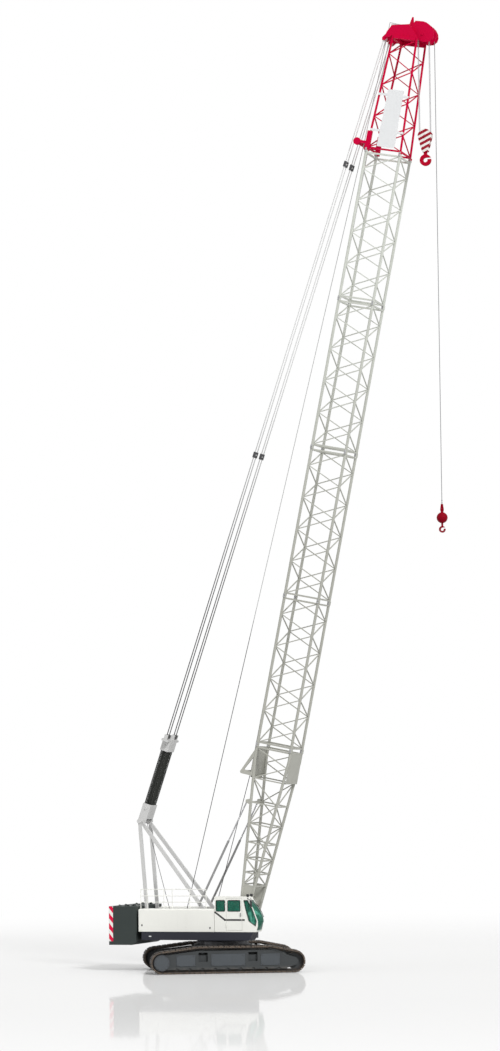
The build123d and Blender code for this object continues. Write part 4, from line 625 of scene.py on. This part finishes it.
# %% Rope on the drums and over the head
DRUMS = ((-0.42, 24), (-1.17, 24), (-1.60, 22))
DRUM_HEIGHT, WOUND_RADIUS, WOUND_ROPE, WOUND_PITCH = 1.44, 0.1325, 0.0155, 0.0165
wound = []
for x, turns in DRUMS:
    turn = spun((x, 0, DRUM_HEIGHT), WOUND_RADIUS, WOUND_ROPE, steps=20)
    wound.append(copies(turn, [shift(0, (k - (turns - 1) / 2) * WOUND_PITCH, 0) for k in range(turns)]))
finished(joined(wound), "wound_rope", rope_dark, "upperworks")
SHAFT_END, DRUM_END = (-2.16, 0.02, 3.98), (-1.50, 0.05, 1.52)
finished(bar(SHAFT_END, DRUM_END, ROPE, SIDES), "boom_hoist_line", rope_dark, "upperworks")

laid = [spun((MAIN[0], y, MAIN[2]), GROOVE, 2 * ROPE, -90, 180, 16) for y in MAIN_SHEAVES]
LED_FROM = (((5.081, -0.06, 25.399), MAIN), ((5.081, 0.115, 25.399), NOSE))
for end, centre in LED_FROM:
    gap = Vector(centre) - Vector(end)
    steep = math.atan2(-gap.z, gap.x) - math.asin(GROOVE / math.hypot(gap.x, gap.z))
    touch = Vector(centre) + Vector((math.sin(steep), 0, math.cos(steep))) * GROOVE
    laid.append(bar(end, touch, ROPE, SIDES))
    if centre is NOSE:
        laid.append(spun(NOSE, GROOVE, 2 * ROPE, math.degrees(steep), 90 - math.degrees(steep), 10))
finished(joined(laid), "head_rope", fall_wire, "boom")

# %% [markdown]
# The machinery houses are sheet steel with doors. A door shows as a leaf
# standing a few millimetres proud with a gap beside it, a black latch and, over
# the engine on the left, rows of slanting louvres for the cooling air.

# %% House doors
WALL, SUNK, DOOR_PROUD, LATCH_BACK, LATCH_FRONT = 1.0, 0.0005, 0.003, 0.002, 0.012
DOOR_FOOT, DOOR_TOP = 1.085, 1.625
RIGHT_LATCHES = ((-1.929, 1.232), (0.006, 1.166))
LEFT_LATCHES = ((-1.24, 1.35), (-1.14, 1.35), (-0.31, 1.35))
LATCH_HALF_WIDTH, LATCH_HALF_HEIGHT = 0.016, 0.024
RIGHT_DOORS = ((-1.995, -0.650), (-0.638, 0.100))
LEFT_DOORS = ((-1.995, -1.200), (-1.188, -0.360), (-0.348, 0.530))
HOUSES = ((-1, RIGHT_DOORS, RIGHT_LATCHES, "right"), (1, LEFT_DOORS, LEFT_LATCHES, "left"))
for side, doors, spots, word in HOUSES:
    inner, outer = layer(side, WALL - SUNK, WALL + DOOR_PROUD)
    leaves = [block((x0, inner, DOOR_FOOT), (x1, outer, DOOR_TOP), 0.0015) for x0, x1 in doors]
    finished(joined(leaves), "house_doors_" + word, white_paint, "upperworks")
    inner, outer = layer(side, WALL + LATCH_BACK, WALL + LATCH_FRONT)
    latches = []
    for x, z in spots:
        low = (x - LATCH_HALF_WIDTH, inner, z - LATCH_HALF_HEIGHT)
        latches.append(block(low, (x + LATCH_HALF_WIDTH, outer, z + LATCH_HALF_HEIGHT), 0.003))
    finished(joined(latches), "house_latches_" + word, black_steel, "upperworks")

SLAT_LEAN, SLAT_PITCH, FIRST_SLAT = math.radians(-24), 0.032, 1.20
slat = block((-0.30, 1.002, -0.010), (0.30, 1.012, 0.006), 0.002, (SLAT_LEAN, 0, 0))
rows = [shift(x, 0, FIRST_SLAT + SLAT_PITCH * k) for x in (-1.60, -0.77) for k in range(11)]
finished(copies(slat, rows), "house_louvres", white_paint, "upperworks")
marks = [block((-1.735, y, 0.925), (-1.665, y + 0.006, 0.952), 0.001) for y in (-1.006, 1.0)]
finished(joined(marks), "side_reflectors", sign_white, "upperworks")

# %% [markdown]
# The counterweight's rear edges carry a strip of warning stripes, so that the
# swinging tail is seen, and its top has lugs by which the slabs are lifted and
# flat pads between them.

# %% Counterweight strips and lifting lugs
STRIP_PROUD = 0.004
STRIP_REAR, STRIP_FRONT, STRIP_FOOT, STRIP_TOP = -2.876, -2.762, 0.80, 1.732
strips = []
for side in (-1, 1):
    inner, outer = layer(side, WALL - SUNK, WALL + STRIP_PROUD)
    strips.append(block((STRIP_REAR, inner, STRIP_FOOT), (STRIP_FRONT, outer, STRIP_TOP), 0.001))
finished(joined(strips), "weight_strips", weight_stripes, "upperworks")
LUG_RADIUS, LUG_THICKNESS, LUG_HEIGHT = 0.034, 0.022, 1.733
lug = spun((0, 0, 0), LUG_RADIUS, LUG_THICKNESS, -100, 200, 12, 8)
spots = [shift(x, y, LUG_HEIGHT) for x in (-2.62, -2.38, -2.22) for y in (-0.86, -0.4, 0.4, 0.86)]
finished(copies(lug, spots), "weight_lugs", weight_grey, "upperworks")
pad = block((-0.05, -0.06, 1.735), (0.05, 0.06, 1.757), 0.006)
spots = [shift(x, y, 0) for x in (-2.5, -2.3) for y in (-0.63, 0.63)]
finished(copies(pad, spots), "weight_pads", weight_grey, "upperworks")

# %% [markdown]
# The cab's glass sits in black rubber, made as a frame: the outline of the
# window, inset, its middle taken out and the rest drawn outwards. The sloping
# black line is laid on as a thin strip, which is cut where the door opens.

# %% Cab trim
SILL, WINDOW_TOP = 1.60, 1.905
CAB_SIDE = -1.0
SEAL_WIDTH, QUARTER_SEAL_WIDTH, SEAL_DEPTH = 0.018, 0.016, 0.006
PANE_CORNER, QUARTER_CORNER = 0.035, 0.012


def pane(x0, x1):
    return ((x0, SILL), (x1, SILL), (x1, WINDOW_TOP), (x0, WINDOW_TOP))


QUARTER = (
    (0.955, 1.905), (1.011, 1.650), (1.096, 1.346), (1.290, 1.212),
    (1.322, 1.347), (1.210, 1.651), (1.072, 1.905),
)
around = [
    seal(pane(0.172, 0.438), CAB_SIDE, SEAL_WIDTH, SEAL_DEPTH, PANE_CORNER),
    seal(QUARTER, CAB_SIDE, QUARTER_SEAL_WIDTH, SEAL_DEPTH, QUARTER_CORNER),
]
finished(joined(around), "cab_seals", black_rubber, "upperworks")
door_seal = seal(pane(0.502, 0.868), CAB_SIDE, SEAL_WIDTH, SEAL_DEPTH, PANE_CORNER)
finished(door_seal, "door_seal", black_rubber, "cab_door")

BAND_WIDTH, BAND_Y, BAND_HALF_DEPTH, BAND_Z = 0.046, -1.0015, 0.002, 1.380


def band(start, end):
    """A thin strip on the cab's outer side, between two X and Z points."""
    (x0, z0), (x1, z1) = start, end
    half = math.hypot(x1 - x0, z1 - z0) / 2
    middle = Vector(((x0 + x1) / 2, BAND_Y, (z0 + z1) / 2))
    size = Vector((half, BAND_HALF_DEPTH, BAND_WIDTH / 2))
    return block(middle - size, middle + size, 0.0008, (0, -math.atan2(z1 - z0, x1 - x0), 0))


bands = [band((0.14, 1.592), (0.420, 1.388))]
bands += [band((x0, BAND_Z), (x1, BAND_Z)) for x0, x1 in ((0.408, 0.463), (0.915, 0.985))]
finished(joined(bands), "cab_line", black_vinyl, "upperworks")
finished(band((0.474, BAND_Z), (0.899, BAND_Z)), "door_line", black_vinyl, "cab_door")

GRIP_X, GRIP_Y, DOOR_SKIN = 0.868, -1.018, -0.998
grip = [bar((GRIP_X, GRIP_Y, 1.46), (GRIP_X, GRIP_Y, 1.56), 0.007)]
grip += [bar((GRIP_X, DOOR_SKIN, z), (GRIP_X, GRIP_Y, z), 0.006) for z in (1.47, 1.55)]
finished(joined(grip), "door_handle", black_steel, "cab_door")

WIPER_BENDS = (
    (1.085, -0.80, 1.945), (1.160, -0.79, 1.860), (1.282, -0.775, 1.730),
    (1.376, -0.77, 1.600), (1.440, -0.765, 1.450),
)
wiper = [bar(start, end, 0.008) for start, end in zip(WIPER_BENDS, WIPER_BENDS[1:])]
finished(joined(wiper), "cab_wiper", black_rubber, "upperworks")
arm = bar((1.04, -0.985, 1.965), (1.17, -1.045, 1.90), 0.009)
mirror = block((1.165, -1.085, 1.70), (1.19, -0.985, 1.90), 0.008)
finished(joined([arm, mirror]), "cab_mirror", black_steel, "upperworks")

LAMPS = (-0.93, -0.63)
lamps = [bar((1.02, y, 2.028), (1.085, y, 2.020), 0.034, 14, 0.006) for y in LAMPS]
finished(joined(lamps), "cab_lamps", black_steel, "upperworks")
posts = [block((1.035, y - 0.008, 1.985), (1.065, y + 0.008, 2.01), 0.002) for y in LAMPS]
finished(joined(posts), "cab_lamp_posts", black_steel, "upperworks")
print("fittings so far:", len(fitted))

# %% [markdown]
# The seat is foam under black vinyl. A crowned cushion comes from a block whose
# faces are divided, relaxed and then smoothed by subdivision. It is seen through
# tinted glass only, so no cloth is simulated.

# %% Operator's seat
def cushion(low, high, turn, name):
    piece = block(low, high, 0.02, turn)
    bpy.ops.object.mode_set(mode="EDIT")
    bpy.ops.mesh.select_all(action="SELECT")
    bpy.ops.mesh.subdivide(number_cuts=3)
    bpy.ops.mesh.vertices_smooth(factor=0.4, repeat=4)
    bpy.ops.object.mode_set(mode="OBJECT")
    soften = piece.modifiers.new("round", "SUBSURF")
    soften.levels = soften.render_levels = 1
    bpy.ops.object.modifier_apply(modifier=soften.name)
    finished(piece, name, black_vinyl, "upperworks")
    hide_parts("operator_seat")


ARMRESTS = (-0.885, -0.675)
base = [block((0.455, -0.86, 1.09), (0.665, -0.70, 1.20), 0.012)]
base += [block((0.50, -0.80, 1.19), (0.62, -0.76, 1.285), 0.01)]
base += [block((0.42, y - 0.02, 1.44), (0.64, y + 0.02, 1.47), 0.008) for y in ARMRESTS]
base += [block((0.43, y - 0.01, 1.28), (0.45, y + 0.01, 1.45), 0.003) for y in ARMRESTS]
seat = finished(joined(base), "seat_frame", black_steel, "upperworks")
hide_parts("operator_seat")
cushion((0.43, -0.895, 1.275), (0.70, -0.665, 1.352), (0, math.radians(-3), 0), "seat_cushion")
cushion((0.395, -0.890, 1.340), (0.465, -0.670, 1.725), (0, math.radians(-12), 0), "seat_back")

# %% [markdown]
# A crawler's side frame is a welded box with raised cover plates between its
# openings, and bolts round the drive's cover. Every shoe is held by four bolts;
# they go where the shoes are, by walking once round the track's own loop. The
# shoes on the ground get none, because theirs face the floor.

# %% Track fittings
OUTER, WHEEL, END, TOP = 1.515, 1.755, 0.295, 0.715
DRIVE_FACE, DRIVE_RIM, BOLT_CIRCLE, DRIVE_BOLTS = 1.589, 0.204, 0.172, 12
COVER_PROUD, COVER_FOOT = 0.012, 0.195
COVERS = ((-1.37, -0.87, 0.49), (-0.45, 0.45, 0.51), (0.87, 1.37, 0.50))
COVER_BOLTS = [(x, z) for x in (-1.33, -0.91, -0.40, 0.40, 0.91, 1.33) for z in (0.225, 0.46)]
CRAWLERS = ((-1, "right"), (1, "left"))
for side, word in CRAWLERS:
    inner, outer = layer(side, OUTER - 0.001, OUTER + COVER_PROUD)
    covers = [block((x0, inner, COVER_FOOT), (x1, outer, z1), 0.006) for x0, x1, z1 in COVERS]
    covers = copies(joined(covers), [UNDER])
    finished(covers, "frame_covers_" + word, panel_grey, "undercarriage")
    head = bar((0, 0, 0), (0, side * 0.012, 0), 0.014, 6, 0.003)
    places = []
    for k in range(DRIVE_BOLTS):
        angle = math.tau * k / DRIVE_BOLTS
        x, z = -WHEEL + BOLT_CIRCLE * math.cos(angle), END + BOLT_CIRCLE * math.sin(angle)
        places.append(UNDER @ shift(x, side * DRIVE_FACE, z))
    places += [UNDER @ shift(x, side * (OUTER + 0.011), z) for x, z in COVER_BOLTS]
    finished(copies(head, places), "frame_bolts_" + word, dark_steel, "undercarriage")
    ring = copies(spun((-WHEEL, side * DRIVE_FACE, END), DRIVE_RIM, 0.012, steps=40), [UNDER])
    finished(ring, "drive_rim_" + word, black_steel, "undercarriage")


def run(a, b):
    """A straight run of the track, as its length and its place at a share."""
    a, b = Vector(a), Vector(b)
    along = (b - a).normalized()
    return (b - a).length, lambda share: (a.lerp(b, share), Vector((along.y, -along.x)))


def bend(centre_x, first, sweep):
    """The track round one end wheel, given as a straight run is."""

    def at(share):
        angle = math.radians(first + sweep * share)
        out = Vector((math.cos(angle), math.sin(angle)))
        return Vector((centre_x, END)) + out * END, out
    return math.radians(sweep) * END, at


SHOES, STILL_SEEN = 62, -0.35
FRONT, REAR = 78.84, 97.17
FRONT_TOP, REAR_TOP = (1.15, TOP), (-0.78, TOP)
nose = bend(WHEEL, -90, FRONT + 90)
tail = bend(-WHEEL, REAR, 270 - REAR)
loop = [
    run((-WHEEL, 0), (WHEEL, 0)),
    nose,
    run(nose[1](1)[0], FRONT_TOP),
    run(FRONT_TOP, REAR_TOP),
    run(REAR_TOP, tail[1](0)[0]),
    tail,
]
around = sum(length for length, _ in loop)
places = []
for k in range(SHOES):
    left = around * (k + 0.5) / SHOES
    for length, at in loop:
        if left <= length:
            break
        left -= length
    spot, out = at(left / length)
    if out.y > STILL_SEEN:
        tilt = math.atan2(out.x, out.y)
        places.append(shift(spot.x, 0, spot.y) @ Matrix.Rotation(tilt, 4, "Y"))
for side, word in CRAWLERS:
    bolt = bar((0, 0, -0.003), (0, 0, 0.006), 0.011, 6, 0.002)
    four = [shift(x, side * (TRACK_MIDDLE + y), 0) for x in (-0.022, 0.022) for y in (-0.11, 0.11)]
    bolts = copies(copies(bolt, four), [UNDER @ place for place in places])
    finished(bolts, "shoe_bolts_" + word, dark_steel, "undercarriage")
print("shoes with bolts:", len(places))

# %% [markdown]
# The boom's sections are pinned together at all four corners of each joint, and
# the pendants have dark connecting links. Round bars make the pins, with a head
# at one end, and bevelled sleeves close over the links.

# %% Boom pins, pendant links and shaft caps
CHORDS_X, CHORDS_Y = (-0.48, 0.48), (-0.4675, 0.4675)
FIRST_JOINT, SECTION, PIN_GAP = 4.63, 4.05, 0.03
JOINTS = [FIRST_JOINT + SECTION * k for k in range(5)]
shank = bar((0, -0.062, 0), (0, 0.062, 0), 0.019, 12, 0.003)
pin = joined([shank, bar((0, -0.070, 0), (0, -0.058, 0), 0.028, 12, 0.003)])
pins = [
    BOOM @ shift(x, y, z + dz)
    for x in CHORDS_X for y in CHORDS_Y for z in JOINTS for dz in (-PIN_GAP, PIN_GAP)
]
finished(copies(pin, pins), "boom_joint_pins", dull_steel, "boom")
sleeve = block((-0.025, -0.033, -0.080), (0.025, 0.033, 0.080), 0.006)
SPAN, LINK_SHARES = 22.101, (0.47, 0.841)
PENDANT_Y, STRAND_GAP = 0.265, 0.088
STRANDS = [side * PENDANT_Y + gap for side in (-1, 1) for gap in (-STRAND_GAP, STRAND_GAP)]
QUARTER_TURN = Matrix.Rotation(math.pi / 2, 4, "Z")
links = [STAY @ shift(0, y, SPAN * share) @ QUARTER_TURN for y in STRANDS for share in LINK_SHARES]
finished(copies(sleeve, links), "pendant_links", dark_steel, "boom")
caps = [
    bar((x, y - 0.006, z), (x, y + 0.006, z), 0.05, 14, 0.003)
    for x, _, z in (MAIN, NOSE) for y in (-0.248, 0.232)
]
finished(joined(caps), "head_shaft_caps", dark_steel, "boom")

# %% [markdown]
# The hook block shows the ends of its sheave shaft, the bolts through its side
# plates and the collar above its hook. Two clamps grip the single rope where it
# enters the ball's socket.

# %% Hook fittings
BLOCK_X, BLOCK_Y, SHAFT_Z = MAIN[0], -0.15, 22.175
PLATE_BOLTS = ((-0.13, 22.33), (0.13, 22.33), (-0.05, 21.83), (0.05, 21.83))
ends = [
    bar((BLOCK_X, y - 0.008, SHAFT_Z), (BLOCK_X, y + 0.008, SHAFT_Z), 0.040, 14, 0.004)
    for y in (-0.238, -0.062)
]
ends += [
    bar((BLOCK_X + x, y - 0.005, z), (BLOCK_X + x, y + 0.005, z), 0.012, 6, 0.002)
    for x, z in PLATE_BOLTS for y in (-0.236, -0.064)
]
finished(joined(ends), "block_shaft_ends", block_stripes, "hook_block")
collar = [bar((BLOCK_X, BLOCK_Y, 21.735), (BLOCK_X, BLOCK_Y, 21.775), 0.052, 18, 0.008)]
collar += [bar((BLOCK_X, BLOCK_Y, 21.70), (BLOCK_X, BLOCK_Y, 21.737), 0.040, 18, 0.006)]
finished(joined(collar), "hook_collar", hook_red, "hook_block")
LINE_X, CLAMP_HALF = NOSE[0] + GROOVE, 0.018
clamps = [
    block((LINE_X - CLAMP_HALF, 0.128, z), (LINE_X + CLAMP_HALF, 0.172, z + 0.022), 0.004)
    for z in (12.345, 12.405)
]
finished(joined(clamps), "socket_clamps", dull_steel, "ball_hook")
print("fittings:", len(fitted), "faces:", sum(fitted.values()))

# %% [markdown]
# The crane stands on a plain pale floor in soft studio light. The floor mirrors
# it a little and fades to white farther out, so that no hard horizon shows. The
# pure white all round is only for the camera and for what it sees in reflections
# and through glass, while a dimmer one and two suns light the surfaces.

# %% Floor and lights
FLOOR_SIZE, FLOOR_LEVEL = 900, -0.004
MIRROR_SHARE, FADE_FROM, FADE_BY = 0.32, 13.0, 40.0
SKY_STRENGTH = 0.62

alone()
bpy.ops.mesh.primitive_plane_add(size=FLOOR_SIZE, location=(0, 0, FLOOR_LEVEL))
floor = bpy.context.object
floor.name = "floor"
floor_finish = Finish("pale_floor", Roughness=0.6, Specular_IOR_Level=0.1)
seen = floor_finish.node("ShaderNodeLightPath", {}, output="Is Camera Ray")
floor_finish.colour(floor_finish.mix(seen, (0.5, 0.5, 0.5), (0.87, 0.87, 0.87)))
matt = Value(floor_finish, floor_finish.shader.outputs["BSDF"])
polish = floor_finish.node("ShaderNodeBsdfAnisotropic", {}, {"Roughness": 0.04})
polished = floor_finish.node("ShaderNodeMixShader", {}, (MIRROR_SHARE, matt, polish))
away = floor_finish.node("ShaderNodeVectorMath", {"operation": "LENGTH"}, (floor_finish.place(),), "Value")
white = floor_finish.node("ShaderNodeEmission", {}, {"Color": (1, 1, 1), "Strength": 1.0})
faded = floor_finish.node("ShaderNodeMixShader", {}, (away.fade(FADE_FROM, FADE_BY) * seen, polished, white))
floor_finish.join(floor_finish.tree.nodes["Material Output"].inputs["Surface"], faded)
floor.data.materials.append(floor_finish.material)

world = bpy.data.worlds.new("studio")
bpy.context.scene.world = world
world.use_nodes = True
sky = world.node_tree
lit = sky.nodes["Background"]
lit.inputs["Color"].default_value = (1, 1, 0.99, 1)
lit.inputs["Strength"].default_value = SKY_STRENGTH
plain = sky.nodes.new("ShaderNodeBackground")
plain.inputs["Color"].default_value = (1, 1, 1, 1)
plain.inputs["Strength"].default_value = 1.0
path = sky.nodes.new("ShaderNodeLightPath")
looking = path.outputs["Is Camera Ray"]
for ray in ("Is Glossy Ray", "Is Transmission Ray"):
    either = sky.nodes.new("ShaderNodeMath")
    either.operation = "MAXIMUM"
    sky.links.new(looking, either.inputs[0])
    sky.links.new(path.outputs[ray], either.inputs[1])
    looking = either.outputs[0]
choose = sky.nodes.new("ShaderNodeMixShader")
sky.links.new(looking, choose.inputs[0])
sky.links.new(lit.outputs[0], choose.inputs[1])
sky.links.new(plain.outputs[0], choose.inputs[2])
sky.links.new(choose.outputs[0], sky.nodes["World Output"].inputs["Surface"])

SUNS = {"key": ((50, 12, 38), 2.1, 14), "fill": ((62, 0, -62), 0.5, 60)}
for name, (turn, strength, spread) in SUNS.items():
    bpy.ops.object.light_add(type="SUN", rotation=[math.radians(a) for a in turn])
    lamp = bpy.context.object
    lamp.name = name + "_light"
    lamp.data.energy = strength
    lamp.data.angle = math.radians(spread)
bpy.context.scene.view_settings.view_transform = "Standard"
